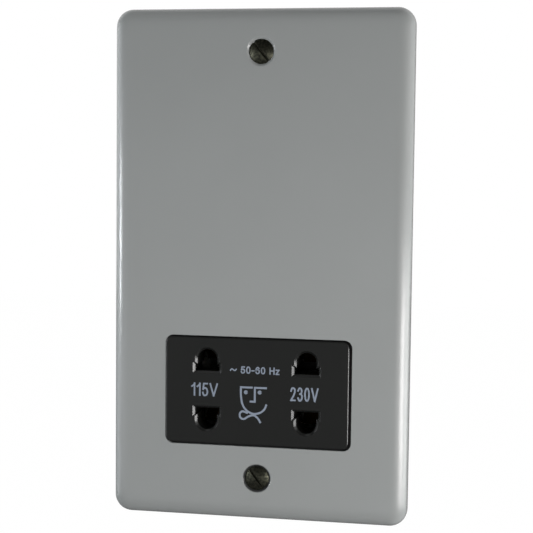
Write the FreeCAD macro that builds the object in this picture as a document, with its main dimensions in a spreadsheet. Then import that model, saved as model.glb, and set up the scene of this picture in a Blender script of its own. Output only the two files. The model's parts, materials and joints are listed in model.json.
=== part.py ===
import FreeCAD, Part
import math
import os
import re
import Sketcher

# A dual-voltage shaver supply unit for a double wall box: painted steel face plate, black socket
# moulding, isolating transformer, plug-operated switch, terminals and rear housing.
# Millimetres; +X right, +Y into the wall, +Z up; the wall plane is Y = 0 and the origin lies
# midway between the two fixing screws.

SIZES = {
    # face plate, pressed from sheet
    "plate_width": 85.4,
    "plate_height": 145.0,
    "plate_depth": 4.8,
    "plate_wall": 1.2,
    "plate_corner_radius": 5.0,
    "plate_edge_radius": 3.8,
    "cutout_width": 53.8,
    "cutout_height": 31.4,
    "cutout_corner_radius": 2.3,
    # fixing screws and the dimples they sit in
    "fixing_pitch": 120.6,
    "fixing_thread": 3.5,
    "fixing_length": 29.0,
    "fixing_neck": 3.0,
    "neck_clearance": 0.5,
    "fixing_head": 7.0,
    "fixing_head_rise": 0.9,
    "fixing_slot_width": 0.7,
    "fixing_slot_depth": 1.1,
    "fixing_slot_angle": -51.0,
    "dimple_width": 8.2,
    "dimple_lip_radius": 0.5,
    "screw_clearance": 0.25,
    # socket moulding
    "socket_drop": 35.3,
    "socket_shift": -0.35,
    "insert_drop": 0.25,
    "insert_clearance": 0.45,
    "insert_proud": 0.2,
    "insert_edge_radius": 0.4,
    "outlet_spacing": 28.7,
    "slot_inner": 5.35,
    "slot_outer": 11.5,
    "slot_width": 5.7,
    "slot_wide_width": 7.0,
    "slot_wide_height": 1.85,
    "slot_chamfer": 0.65,
    "tunnel_wall": 1.2,
    "tunnel_depth": 5.1,
    "lid_thickness": 2.0,
    "lid_overlap": 1.85,
    "lid_boss": 6.0,
    "lid_boss_length": 8.0,
    "lid_skin": 1.2,
    "stop_spacing": 12.0,
    "stop_width": 2.0,
    "stop_length": 11.5,
    "post": 6.0,
    "post_inset": 3.8,
    "post_length": 20.6,
    # plate studs, nuts and earth tag
    "stud": 3.0,
    "stud_length": 5.8,
    "stud_top_spacing": 34.0,
    "stud_top_room": 0.8,
    "stud_side_room": 0.65,
    "stud_drop_room": 1.3,
    "nut_flats": 5.5,
    "nut_thickness": 2.4,
    "tag_thickness": 0.8,
    "tag_ring": 6.6,
    "tag_width": 3.0,
    "tag_reach": 4.5,
    "tag_length": 6.0,
    # rear housing
    "housing_width": 64.0,
    "housing_wall": 2.0,
    "housing_corner_radius": 3.0,
    "housing_edge_radius": 1.5,
    "rim_clearance": 0.2,
    "pillar": 7.6,
    "pillar_inset": 5.2,
    "housing_screw": 2.9,
    "housing_screw_length": 26.0,
    "housing_screw_head": 5.6,
    "housing_screw_head_height": 2.0,
    "partition_wall": 2.0,
    "partition_room": 2.0,
    "partition_notch": 32.0,
    "thread_clearance": 0.05,
    # contacts and their carrier
    "carrier_height": 25.6,
    "carrier_room": 2.0,
    "carrier_side_room": 2.5,
    "carrier_ear_height": 11.0,
    "carrier_thickness": 2.5,
    "carrier_screw_length": 9.0,
    "strip_width": 5.0,
    "strip_thickness": 0.5,
    "strip_bend": 0.8,
    "leaf_root": 11.8,
    "leaf_root_length": 4.25,
    "leaf_bow": 7.2,
    "leaf_bow_reach": 11.15,
    "leaf_tip": 10.2,
    "leaf_tip_reach": 14.15,
    "tail_offset": 4.0,
    "tail_clearance": 0.25,
    "bridge_width": 2.5,
    "common_tail_offset": 9.0,
    "common_tail_width": 4.0,
    "rivet": 2.0,
    "rivet_head": 3.2,
    "rivet_head_height": 0.8,
    "rivet_offset": 9.0,
    # plug-operated switch
    "actuator_offset": 6.0,
    "actuator_height": 2.8,
    "actuator_depth": 3.5,
    "actuator_pad": 5.0,
    "stem": 5.0,
    "stem_length": 11.2,
    "guide_clearance": 0.15,
    "guide_width": 14.2,
    "guide_height": 10.0,
    "guide_length": 7.5,
    "cheek_length": 5.0,
    "spring_seat": 8.0,
    "spring_seat_depth": 3.0,
    "spring_coil": 6.4,
    "spring_wire": 0.6,
    "spring_turns": 6.0,
    "switch_width": 11.0,
    "switch_height": 10.0,
    "switch_depth": 7.0,
    "switch_back_gap": 0.5,
    "plunger": 3.0,
    "plunger_seat": 2.0,
    "tab_width": 4.8,
    "tab_thickness": 0.8,
    "tab_length": 4.0,
    "tab_offset": 3.0,
    "tab_drop": 1.5,
    "actuator_stroke": 4.0,
    # isolating transformer
    "core_leg": 9.0,
    "core_stack": 17.0,
    "core_room": 0.5,
    "core_top_room": 1.5,
    "core_hole": 3.5,
    "core_bolt": 3.0,
    "core_bolt_head": 5.5,
    "core_bolt_head_height": 2.0,
    "core_bolt_grip": 7.5,
    "core_boss": 7.0,
    "coil_depth": 32.0,
    "coil_front_gap": 4.6,
    "coil_back_gap": 1.5,
    "bobbin_clearance": 0.2,
    "bobbin_wall": 1.0,
    "bobbin_flange": 1.2,
    "winding_step": 1.2,
    "winding_corner_radius": 2.5,
    "tape_thickness": 0.3,
    "fuse": 4.0,
    "fuse_length": 9.5,
    "fuse_wire": 1.0,
    "fuse_wire_length": 3.2,
    # leads and terminals
    "lead": 1.4,
    "lead_bend": 2.0,
    "lead_room": 0.65,
    "earth_lead_width": 2.2,
    "earth_lead_bend": 3.5,
    "terminal_width": 8.0,
    "terminal_depth": 8.0,
    "terminal_height": 10.0,
    "terminal_bore": 4.0,
    "terminal_bore_depth": 9.0,
    "terminal_tail": 4.0,
    "terminal_tail_back": 6.0,
    "terminal_screw": 3.5,
    "terminal_screw_head": 5.0,
    "terminal_screw_head_height": 2.0,
    "terminal_screw_rise": 6.0,
    "terminal_recess": 1.0,
    "block_wall": 2.0,
    "block_gap": 4.0,
    "block_side": 3.0,
    "block_room": 1.0,
    "block_clearance": 0.15,
    "block_lip": 1.2,
    "well_clearance": 1.0,
}

LAYOUT = {
    # depths along Y
    "plate_inner": "plate_wall - plate_depth",
    "insert_front": "-plate_depth - insert_proud",
    "dimple_depth": "(dimple_width - fixing_thread) / 2 - screw_clearance",
    "dimple_back": "dimple_depth + plate_wall - plate_depth",
    "fixing_seat": "(dimple_width - fixing_head) / 2 - plate_depth",
    "lid_back": "plate_inner + lid_thickness",
    "tunnel_back": "lid_back + tunnel_depth",
    "boss_end": "lid_back + lid_boss_length",
    "actuator_front": "lid_back + stop_length",
    "actuator_back": "actuator_front + actuator_depth",
    "stem_end": "actuator_back + stem_length",
    "carrier_front": "lid_back + post_length",
    "carrier_back": "carrier_front + carrier_thickness",
    "foot_middle": "carrier_front - strip_thickness / 2",
    "switch_front": "carrier_back + guide_length",
    "coil_front": "lid_back + coil_front_gap",
    "core_middle": "coil_front + coil_depth / 2",
    "core_front": "core_middle - core_stack / 2",
    "core_back": "core_middle + core_stack / 2",
    "housing_floor": "max(coil_front + coil_depth + coil_back_gap;"
                     "switch_front + switch_depth + switch_back_gap)",
    "housing_back": "housing_floor + housing_wall",
    "block_front": "carrier_back + block_gap",
    "terminal_front": "block_front + block_wall",
    "terminal_back": "terminal_front + terminal_depth",
    "terminal_bore_line": "terminal_front + terminal_depth * 0.4",
    "terminal_tail_line": "terminal_front + terminal_tail_back",
    "lead_line": "(core_back + core_middle + coil_depth / 2 - winding_step) / 2",
    "lead_front_line": "carrier_back + block_gap",
    "tail_end": "lead_front_line + lead",
    "common_end": "lead_line + lead",
    "screw_seat": "boss_end + housing_screw_length - lid_boss_length",
    "terminal_head": "terminal_back + 2 * screw_clearance",
    # heights along Z and widths along X
    "socket_rise": "-socket_drop",
    "insert_width": "cutout_width - 2 * insert_clearance",
    "insert_height": "cutout_height - 2 * insert_clearance",
    "housing_height": "2 * (socket_drop + insert_drop + cutout_height / 2 + lid_overlap)",
    "between_pillars": "housing_width - 2 * pillar_inset - pillar",
    "pillar_across": "housing_width - 2 * pillar_inset",
    "pillar_up": "housing_height - 2 * pillar_inset",
    "carrier_width": "housing_width - 2 * (housing_wall + carrier_room)",
    "carrier_middle_width": "between_pillars - 2 * carrier_side_room",
    "post_spacing": "carrier_width - 2 * post_inset",
    "core_width": "between_pillars - 2 * core_room",
    "window": "core_width - 2 * core_leg",
    "core_height": "core_leg * 6",
    "core_rise": "(housing_height - core_height) / 2 - housing_wall - core_top_room",
    "partition_drop": "core_height / 2 - core_rise + partition_room + partition_wall / 2",
    "nut_reach": "nut_flats / sqrt(3)",
    "stud_top_height": "housing_height / 2 - housing_wall - nut_reach - stud_top_room",
    "stud_low_drop": "partition_drop + partition_wall / 2 + nut_reach + stud_drop_room",
    "stud_low_spacing": "outlet_spacing + slot_wide_width + 2 * (tunnel_wall + nut_reach + stud_side_room)",
    "bolt_across": "window + core_leg",
    "bolt_up": "core_height - core_leg",
    "bobbin_length": "window - 2 * bobbin_clearance",
    "bobbin_inner_height": "core_leg * 2 + 2 * bobbin_clearance",
    "bobbin_inner_depth": "core_stack + 2 * bobbin_clearance",
    "bobbin_outer_height": "bobbin_inner_height + 2 * bobbin_wall",
    "bobbin_outer_depth": "bobbin_inner_depth + 2 * bobbin_wall",
    "flange_height": "core_leg * 4 - 2 * bobbin_clearance",
    "winding_height": "flange_height - 2 * winding_step",
    "winding_depth": "coil_depth - 2 * winding_step",
    "winding_length": "(bobbin_length - 3 * bobbin_flange) / 2",
    "coil_bottom": "core_rise - winding_height / 2 - tape_thickness",
    "housing_bottom": "-housing_height / 2",
    "terminal_bottom": "housing_bottom + terminal_recess",
    "terminal_top": "terminal_bottom + terminal_height",
    "block_top": "terminal_top + block_wall",
    "block_width": "between_pillars - 2 * block_room",
    "terminal_spacing": "(block_width - terminal_width) / 2 - well_clearance - block_side",
    "actuator_rise": "actuator_offset - socket_drop",
    "switch_bottom": "actuator_rise - switch_height / 2",
    "switch_top": "actuator_rise + switch_height / 2",
    "tail_top": "switch_bottom - tab_drop",
    "outlet_left": "-outlet_spacing / 2",
    "outlet_right": "outlet_spacing / 2",
    "upper_tail": "tail_offset - socket_drop + strip_thickness / 2",
    "fuse_line": "fuse / 2 - winding_length - bobbin_flange / 2",
    "fuse_bottom": "coil_bottom - fuse_length - 2 * fuse_wire_length",
    "lead_turn": "-partition_drop - partition_wall - lead_bend",
    "winding_start": "bobbin_flange / 2",
    "tag_foot": "-stud_low_drop - tag_reach",
}

doc = FreeCAD.newDocument("shaver_socket")


def make_sheet(name, cells):
    sheet = doc.addObject("Spreadsheet::Sheet", name)
    for row, (alias, content) in enumerate(cells.items(), start=1):
        sheet.set(f"A{row}", alias)
        sheet.set(f"B{row}", content)
        sheet.setAlias(f"B{row}", alias)
    return sheet


def qualified(formula, layout_prefix="Layout."):
    def owner(match):
        word = match.group(0)
        if word in SIZES:
            return "Sizes." + word
        if word in LAYOUT:
            return layout_prefix + word
        return word
    return re.sub(r"[a-z][a-z_0-9]*", owner, formula)


sizes = make_sheet("Sizes", {alias: str(number) for alias, number in SIZES.items()})
doc.recompute()
make_sheet("Layout", {alias: "=" + qualified(rule, "") for alias, rule in LAYOUT.items()})
doc.recompute()


def value(formula):
    return float(sizes.evalExpression(qualified(formula)))


def bind(target, prop, formula):
    target.setExpression(prop, qualified(formula))


def new_body(label, x="0", y="0", z="0"):
    body = doc.addObject("PartDesign::Body", label)
    body.Label = label
    for axis, formula in (("x", x), ("y", y), ("z", z)):
        if formula != "0":
            bind(body, f"Placement.Base.{axis}", formula)
    return body


def plane_of(body, role):
    return next(item for item in body.Origin.OriginFeatures if item.Role == role)


def attach(body, item, role, across="0", up="0", along="0"):
    """Place a sketch or primitive on an origin plane, moved within it and along its normal."""
    item.AttachmentSupport = [(plane_of(body, role), "")]
    item.MapMode = "FlatFace"
    for axis, formula in (("x", across), ("y", up), ("z", along)):
        if formula != "0":
            bind(item, f"AttachmentOffset.Base.{axis}", formula)
    return item


def new_sketch(body, name, role, across="0", up="0", along="0"):
    sketch = body.newObject("Sketcher::SketchObject", name)
    return attach(body, sketch, role, across, up, along)


def front_sketch(body, name, x="0", z="0", y="0"):
    """A sketch seen from the front: X across, Z up, at depth Y."""
    return new_sketch(body, name, "XZ_Plane", x, z, f"-({y})")


def hold(sketch, kind, geometry, point, formula):
    """Tie one coordinate of a sketch point to a formula, measured from the sketch's origin."""
    if formula == "0":
        axis = -2 if kind == "DistanceX" else -1
        sketch.addConstraint(Sketcher.Constraint("PointOnObject", geometry, point, axis))
        return
    number = value(formula)
    index = sketch.addConstraint(Sketcher.Constraint(kind, -1, 1, geometry, point, number))
    bind(sketch, f"Constraints[{index}]", formula)


def size_rule(sketch, constraint, formula):
    index = sketch.addConstraint(constraint)
    bind(sketch, f"Constraints[{index}]", formula)


def outline(sketch, corners):
    """A closed outline. A corner may carry a radius: the arc that leads to it from the last one."""
    points = [FreeCAD.Vector(value(corner[0]), value(corner[1]), 0) for corner in corners]
    count = len(corners)
    first = sketch.GeometryCount
    for index in range(count):
        start = points[index]
        end = points[(index + 1) % count]
        rule = corners[(index + 1) % count]
        if len(rule) == 2:
            sketch.addGeometry(Part.LineSegment(start, end))
            continue
        radius = value(rule[2])
        chord = end - start
        sagitta = radius - math.sqrt(radius ** 2 - (chord.Length / 2) ** 2)
        side = FreeCAD.Vector(chord.y, -chord.x, 0).normalize()
        middle = (start + end) * 0.5 + side * sagitta
        arc = sketch.addGeometry(Part.Arc(start, middle, end))
        size_rule(sketch, Sketcher.Constraint("Radius", arc, radius), rule[2])
    ends = []
    for index in range(count):
        geometry = sketch.Geometry[first + index]
        backwards = geometry.StartPoint.distanceToPoint(points[index]) > 1e-6
        ends.append((2, 1) if backwards else (1, 2))
    for index in range(count):
        after = (index + 1) % count
        joint = (first + index, ends[index][1], first + after, ends[after][0])
        sketch.addConstraint(Sketcher.Constraint("Coincident", *joint))
    for index, corner in enumerate(corners):
        hold(sketch, "DistanceX", first + index, ends[index][0], corner[0])
        hold(sketch, "DistanceY", first + index, ends[index][0], corner[1])
    return sketch


def rounded_outline(sketch, width, height, radius):
    """A rectangle with rounded corners, centred on the sketch's origin."""
    left, low = f"-({width}) / 2", f"-({height}) / 2"
    right, high = f"({width}) / 2", f"({height}) / 2"
    return outline(sketch, [
        (f"{left} + {radius}", low, radius),
        (f"{right} - ({radius})", low),
        (right, f"{low} + {radius}", radius),
        (right, f"{high} - ({radius})"),
        (f"{right} - ({radius})", high, radius),
        (f"{left} + {radius}", high),
        (left, f"{high} - ({radius})", radius),
        (left, f"{low} + {radius}"),
    ])


def rectangle(sketch, width, height):
    """A rectangle centred on the sketch's origin."""
    left, low = f"-({width}) / 2", f"-({height}) / 2"
    right, high = f"({width}) / 2", f"({height}) / 2"
    return outline(sketch, [(left, low), (right, low), (right, high), (left, high)])


def box_outline(sketch, left, right, low, high):
    return outline(sketch, [(left, low), (right, low), (right, high), (left, high)])


def circles(sketch, centres, diameter):
    for across, up in centres:
        centre = FreeCAD.Vector(value(across), value(up), 0)
        radius = value(diameter) / 2
        index = sketch.addGeometry(Part.Circle(centre, FreeCAD.Vector(0, 0, 1), radius))
        hold(sketch, "DistanceX", index, 3, across)
        hold(sketch, "DistanceY", index, 3, up)
        size_rule(sketch, Sketcher.Constraint("Diameter", index, 2 * radius), diameter)
    return sketch


def four_corners(width, height):
    across, up = f"({width}) / 2", f"({height}) / 2"
    return [(f"{a}{across}", f"{b}{up}") for a in ("-", "") for b in ("-", "")]


def arch(sketch, width, low, high):
    """A slot outline: flat at the low end, half round at the high end."""
    half = value(width) / 2
    base, spring = value(low), value(high) - half
    corner = [FreeCAD.Vector(x, y, 0) for x, y in
              ((-half, base), (half, base), (half, spring), (-half, spring))]
    sketch.addGeometry(Part.LineSegment(corner[0], corner[1]))
    sketch.addGeometry(Part.LineSegment(corner[1], corner[2]))
    sketch.addGeometry(Part.Arc(corner[2], FreeCAD.Vector(0, spring + half, 0), corner[3]))
    sketch.addGeometry(Part.LineSegment(corner[3], corner[0]))
    sketch.addConstraint(Sketcher.Constraint("Coincident", 0, 2, 1, 1))
    sketch.addConstraint(Sketcher.Constraint("Tangent", 1, 2, 2, 1))
    sketch.addConstraint(Sketcher.Constraint("Tangent", 2, 2, 3, 1))
    sketch.addConstraint(Sketcher.Constraint("Coincident", 3, 2, 0, 1))
    sketch.addConstraint(Sketcher.Constraint("Vertical", 1))
    sketch.addConstraint(Sketcher.Constraint("Horizontal", 0))
    sketch.addConstraint(Sketcher.Constraint("PointOnObject", 2, 3, -2))
    hold(sketch, "DistanceY", 0, 1, low)
    hold(sketch, "DistanceY", 2, 3, f"{high} - ({width}) / 2")
    size_rule(sketch, Sketcher.Constraint("Radius", 2, half), f"({width}) / 2")
    return sketch


def bent_path(sketch, corners, bend):
    """An open path of straight runs joined by bends of one radius."""
    points = [FreeCAD.Vector(value(x), value(y), 0) for x, y in corners]
    runs = len(points) - 1
    for index in range(runs):
        sketch.addGeometry(Part.LineSegment(points[index], points[index + 1]))
    for index in range(runs - 1):
        sketch.addConstraint(Sketcher.Constraint("Coincident", index, 2, index + 1, 1))
    for index, corner in enumerate(corners):
        place = (index, 1) if index < runs else (runs - 1, 2)
        hold(sketch, "DistanceX", *place, corner[0])
        hold(sketch, "DistanceY", *place, corner[1])
    for index in range(runs - 1):
        sketch.fillet(index, 2, value(bend), True, True)
    for index, geometry in enumerate(sketch.Geometry):
        if isinstance(geometry, Part.ArcOfCircle):
            size_rule(sketch, Sketcher.Constraint("Radius", index, value(bend)), bend)
    return sketch


def feature(body, kind, name, profile):
    item = body.newObject("PartDesign::" + kind, name)
    item.Profile = profile
    profile.Visibility = False
    body.Tip = item
    return item


def pad(body, name, profile, length, reversed_=False):
    """Add material: away from the plane's normal side, or against it."""
    item = feature(body, "Pad", name, profile)
    bind(item, "Length", length)
    item.Reversed = reversed_
    return item


def pad_back(body, name, profile, length):
    return pad(body, name, profile, length, True)


def pad_front(body, name, profile, length):
    return pad(body, name, profile, length)


def pocket_back(body, name, profile, length):
    """Cut from a front sketch towards the back."""
    item = feature(body, "Pocket", name, profile)
    bind(item, "Length", length)
    return item


def pocket_front(body, name, profile, length):
    item = pocket_back(body, name, profile, length)
    item.Reversed = True
    return item


def turned(body, name, profile, kind="Revolution"):
    """Turn a profile about its sketch's own horizontal axis."""
    item = feature(body, kind, name, profile)
    item.ReferenceAxis = (profile, ["H_Axis"])
    item.Angle = 360.0
    return item


def mirrored(body, name, originals, *roles):
    """Repeat features across one or more of the body's own planes."""
    mirrors = []
    for role in roles:
        mirror = doc.addObject("PartDesign::Mirrored", f"{name}_{role[:2].lower()}")
        mirror.MirrorPlane = (plane_of(body, role), [""])
        mirrors.append(mirror)
    if len(mirrors) == 1:
        body.addObject(mirrors[0])
        mirrors[0].Originals = originals
        body.Tip = mirrors[0]
        return mirrors[0]
    item = body.newObject("PartDesign::MultiTransform", name)
    item.Originals = originals
    for mirror in mirrors:
        body.addObject(mirror)
    item.Transformations = mirrors
    body.Tip = item
    return item


def edge_names(item, chosen):
    doc.recompute()
    return [f"Edge{n}" for n, edge in enumerate(item.Shape.Edges, start=1) if chosen(edge)]


def face_names(item, chosen):
    doc.recompute()
    return [f"Face{n}" for n, face in enumerate(item.Shape.Faces, start=1) if chosen(face)]


def dressed(body, kind, name, base, names, prop, formula):
    item = body.newObject("PartDesign::" + kind, name)
    item.Base = (base, names)
    bind(item, prop, formula)
    body.Tip = item
    return item


def at_depth(edge, depth):
    box = edge.BoundBox
    return abs(box.YMin - depth) < 0.01 and abs(box.YMax - depth) < 0.01


def in_line(body, name, originals, role, length, count=2, backwards=False):
    """Repeat features along one of the body's own axes."""
    item = body.newObject("PartDesign::LinearPattern", name)
    item.Originals = originals
    item.Direction = (plane_of(body, role), [""])
    bind(item, "Length", length)
    item.Occurrences = count
    item.Reversed = backwards
    body.Tip = item
    return item


def drive_slots(body, name, centres, depth, length, cut):
    """Screwdriver slots across a set of screw heads."""
    profile = front_sketch(body, name + "_outline", y=depth)
    for across, up in centres:
        half = f"({length}) / 2"
        box_outline(profile, f"{across} - {half}", f"{across} + {half}",
                    f"{up} - fixing_slot_width / 2", f"{up} + fixing_slot_width / 2")
    return cut(body, name, profile, "fixing_slot_depth")


STUDS = [
    ("-stud_top_spacing / 2", "stud_top_height"),
    ("stud_top_spacing / 2", "stud_top_height"),
    ("-stud_low_spacing / 2", "-stud_low_drop"),
    ("stud_low_spacing / 2", "-stud_low_drop"),
]
PILLARS = four_corners("pillar_across", "pillar_up")
POSTS = [("-post_spacing / 2", "0"), ("post_spacing / 2", "0")]
RIVETS = four_corners("outlet_spacing", "2 * rivet_offset")
CORE_BOLTS = four_corners("bolt_across", "bolt_up")
TERMINALS = {"neutral": "-terminal_spacing", "live": "0", "earth": "terminal_spacing"}
SOCKET = ("socket_shift", "0", "socket_rise")
# two runs of a lead are in line when their directions differ by less than this
IN_LINE = 1e-6


def build_face_plate():
    body = new_body("face_plate")
    blank = front_sketch(body, "plate_outline")
    rounded_outline(blank, "plate_width", "plate_height", "plate_corner_radius")
    block = pad_front(body, "plate_blank", blank, "plate_depth")
    front = value("-plate_depth")
    rim = edge_names(block, lambda edge: at_depth(edge, front))
    rolled = dressed(body, "Fillet", "rolled_edge", block, rim, "Radius", "plate_edge_radius")
    back = face_names(rolled, lambda face: face.BoundBox.YMin > -0.01)
    sheet = dressed(body, "Thickness", "pressed_sheet", rolled, back, "Value", "plate_wall")
    sheet.Reversed = True
    opening = front_sketch(body, "cutout_outline", z="socket_rise - insert_drop", y="-plate_depth")
    rounded_outline(opening, "cutout_width", "cutout_height", "cutout_corner_radius")
    pocket_back(body, "cutout", opening, "plate_wall * 2")
    bowl = new_sketch(body, "dimple_bowl_outline", "YZ_Plane", up="fixing_pitch / 2")
    outline(bowl, [
        ("plate_inner", "0"),
        ("dimple_back", "0"),
        ("dimple_back", "fixing_thread / 2 + screw_clearance + plate_wall"),
        ("plate_inner", "(dimple_width + plate_wall) / 2"),
    ])
    bowl_form = turned(body, "dimple_bowl", bowl)
    cone = new_sketch(body, "dimple_cone_outline", "YZ_Plane", up="fixing_pitch / 2")
    outline(cone, [
        ("-plate_depth", "0"),
        ("dimple_back + plate_wall", "0"),
        ("dimple_back + plate_wall", "fixing_thread / 2 + screw_clearance"),
        ("dimple_depth - plate_depth", "fixing_thread / 2 + screw_clearance"),
        ("-plate_depth", "dimple_width / 2"),
    ])
    cone_cut = turned(body, "dimple_cone", cone, "Groove")
    both = mirrored(body, "dimples", [bowl_form, cone_cut], "XY_Plane")
    width = value("dimple_width")
    lips = edge_names(both, lambda edge: at_depth(edge, front)
                      and abs(edge.BoundBox.XLength - width) < 0.1)
    dressed(body, "Fillet", "dimple_lips", both, lips, "Radius", "dimple_lip_radius")
    return body


def build_fixing_screws():
    body = new_body("fixing_screws")
    profile = new_sketch(body, "screw_outline", "YZ_Plane", up="fixing_pitch / 2")
    dome = ("(fixing_head * fixing_head / 4 + fixing_head_rise * fixing_head_rise)"
            " / (2 * fixing_head_rise)")
    outline(profile, [
        ("fixing_seat - fixing_head_rise", "0", dome),
        ("fixing_seat + fixing_length", "0"),
        ("fixing_seat + fixing_length", "fixing_thread / 2"),
        ("dimple_back + neck_clearance", "fixing_thread / 2"),
        ("dimple_back + neck_clearance", "fixing_neck / 2"),
        ("fixing_seat + (fixing_head - fixing_neck) / 2", "fixing_neck / 2"),
        ("fixing_seat", "fixing_head / 2"),
    ])
    screw = turned(body, "screw", profile)
    slot = front_sketch(body, "slot_outline", z="fixing_pitch / 2", y="fixing_seat - fixing_head_rise")
    bind(slot, "AttachmentOffset.Rotation.Angle", "fixing_slot_angle")
    rectangle(slot, "fixing_head * 1.2", "fixing_slot_width")
    cut = pocket_back(body, "slot", slot, "fixing_slot_depth")
    in_line(body, "screw_pair", [screw, cut], "Z_Axis", "fixing_pitch", backwards=True)
    return body


def build_plate_studs():
    body = new_body("plate_studs")
    profile = circles(front_sketch(body, "stud_outline", y="plate_inner"), STUDS, "stud")
    pad_back(body, "studs", profile, "stud_length")
    return body


def build_stud_nuts():
    body = new_body("stud_nuts")
    profile = front_sketch(body, "nut_outline", y="lid_back")
    for across, up in STUDS:
        corners = []
        for turn in range(6):
            angle = math.radians(60 * turn)
            corners.append((f"{across} + nut_reach * ({math.cos(angle):.6f})",
                            f"{up} + nut_reach * ({math.sin(angle):.6f})"))
        outline(profile, corners)
    circles(profile, STUDS, "stud + 2 * thread_clearance")
    pad_back(body, "nuts", profile, "nut_thickness")
    return body


def build_front_moulding():
    body = new_body("front_moulding", *SOCKET)
    case = {"x": "-socket_shift", "z": "socket_drop"}
    lid = front_sketch(body, "lid_outline", y="plate_inner", **case)
    rounded_outline(lid, "housing_width", "housing_height", "housing_corner_radius")
    pad_back(body, "lid", lid, "lid_thickness")
    face = front_sketch(body, "insert_outline", z="-insert_drop", y="plate_inner")
    rounded_outline(face, "insert_width", "insert_height", "cutout_corner_radius - insert_clearance")
    raised = pad_front(body, "insert", face, "plate_inner - insert_front")
    front = value("insert_front")
    rim = edge_names(raised, lambda edge: at_depth(edge, front))
    dressed(body, "Fillet", "insert_edge", raised, rim, "Radius", "insert_edge_radius")
    tunnel = front_sketch(body, "tunnel_outline", x="outlet_left", y="lid_back")
    rectangle(tunnel, "slot_wide_width + 2 * tunnel_wall", "2 * (slot_outer + tunnel_wall)")
    tunnel_form = pad_back(body, "tunnel", tunnel, "tunnel_depth")
    stop = front_sketch(body, "stop_outline", x="-stop_spacing / 2", z="actuator_offset", y="lid_back")
    rectangle(stop, "stop_width", "actuator_height")
    stop_form = pad_back(body, "stop", stop, "stop_length")
    mirrored(body, "right_side", [tunnel_form, stop_form], "YZ_Plane")
    pad_back(body, "posts", circles(front_sketch(body, "post_outline", y="lid_back"), POSTS, "post"),
             "post_length")
    bosses = circles(front_sketch(body, "boss_outline", y="lid_back", **case), PILLARS, "lid_boss")
    pad_back(body, "bosses", bosses, "lid_boss_length")
    narrow = front_sketch(body, "slot_arch_outline", x="outlet_left", y="insert_front")
    narrow_cut = pocket_back(body, "slot_arch", arch(narrow, "slot_width", "slot_inner", "slot_outer"),
                             "tunnel_back - insert_front")
    wide = front_sketch(body, "slot_wide_outline", x="outlet_left", y="insert_front")
    box_outline(wide, "-slot_wide_width / 2", "slot_wide_width / 2",
                "slot_inner", "slot_inner + slot_wide_height")
    wide_cut = pocket_back(body, "slot_wide", wide, "tunnel_back - insert_front")
    slots = mirrored(body, "slots", [narrow_cut, wide_cut], "XY_Plane", "YZ_Plane")
    reach = value("slot_outer") + 0.1
    mouths = edge_names(slots, lambda edge: at_depth(edge, front)
                        and abs(edge.BoundBox.ZMin) < reach and abs(edge.BoundBox.ZMax) < reach
                        and edge.BoundBox.ZLength < reach)
    dressed(body, "Chamfer", "slot_mouths", slots, mouths, "Size", "slot_chamfer")
    thread = "housing_screw + 2 * thread_clearance"
    post_holes = circles(front_sketch(body, "post_hole_outline", y="carrier_front"), POSTS, thread)
    pocket_front(body, "post_holes", post_holes, "carrier_screw_length")
    boss_holes = circles(front_sketch(body, "boss_hole_outline", y="boss_end", **case), PILLARS, thread)
    pocket_front(body, "boss_holes", boss_holes, "lid_boss_length + lid_thickness - lid_skin")
    stud_holes = front_sketch(body, "stud_hole_outline", y="plate_inner", **case)
    circles(stud_holes, STUDS, "stud + 2 * screw_clearance")
    pocket_back(body, "stud_holes", stud_holes, "lid_thickness")
    ring = circles(front_sketch(body, "tag_ring_outline", y="lid_back", **case), STUDS[3:],
                   "tag_ring + 2 * rim_clearance")
    pocket_front(body, "tag_ring_seat", ring, "tag_thickness")
    tongue = front_sketch(body, "tag_tongue_outline", y="lid_back", **case)
    box_outline(tongue, "(stud_low_spacing - tag_width) / 2 - rim_clearance",
                "(stud_low_spacing + tag_width) / 2 + rim_clearance",
                "tag_foot - tag_thickness / 2 - rim_clearance", "-stud_low_drop")
    pocket_front(body, "tag_tongue_seat", tongue, "tag_thickness")
    return body


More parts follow.
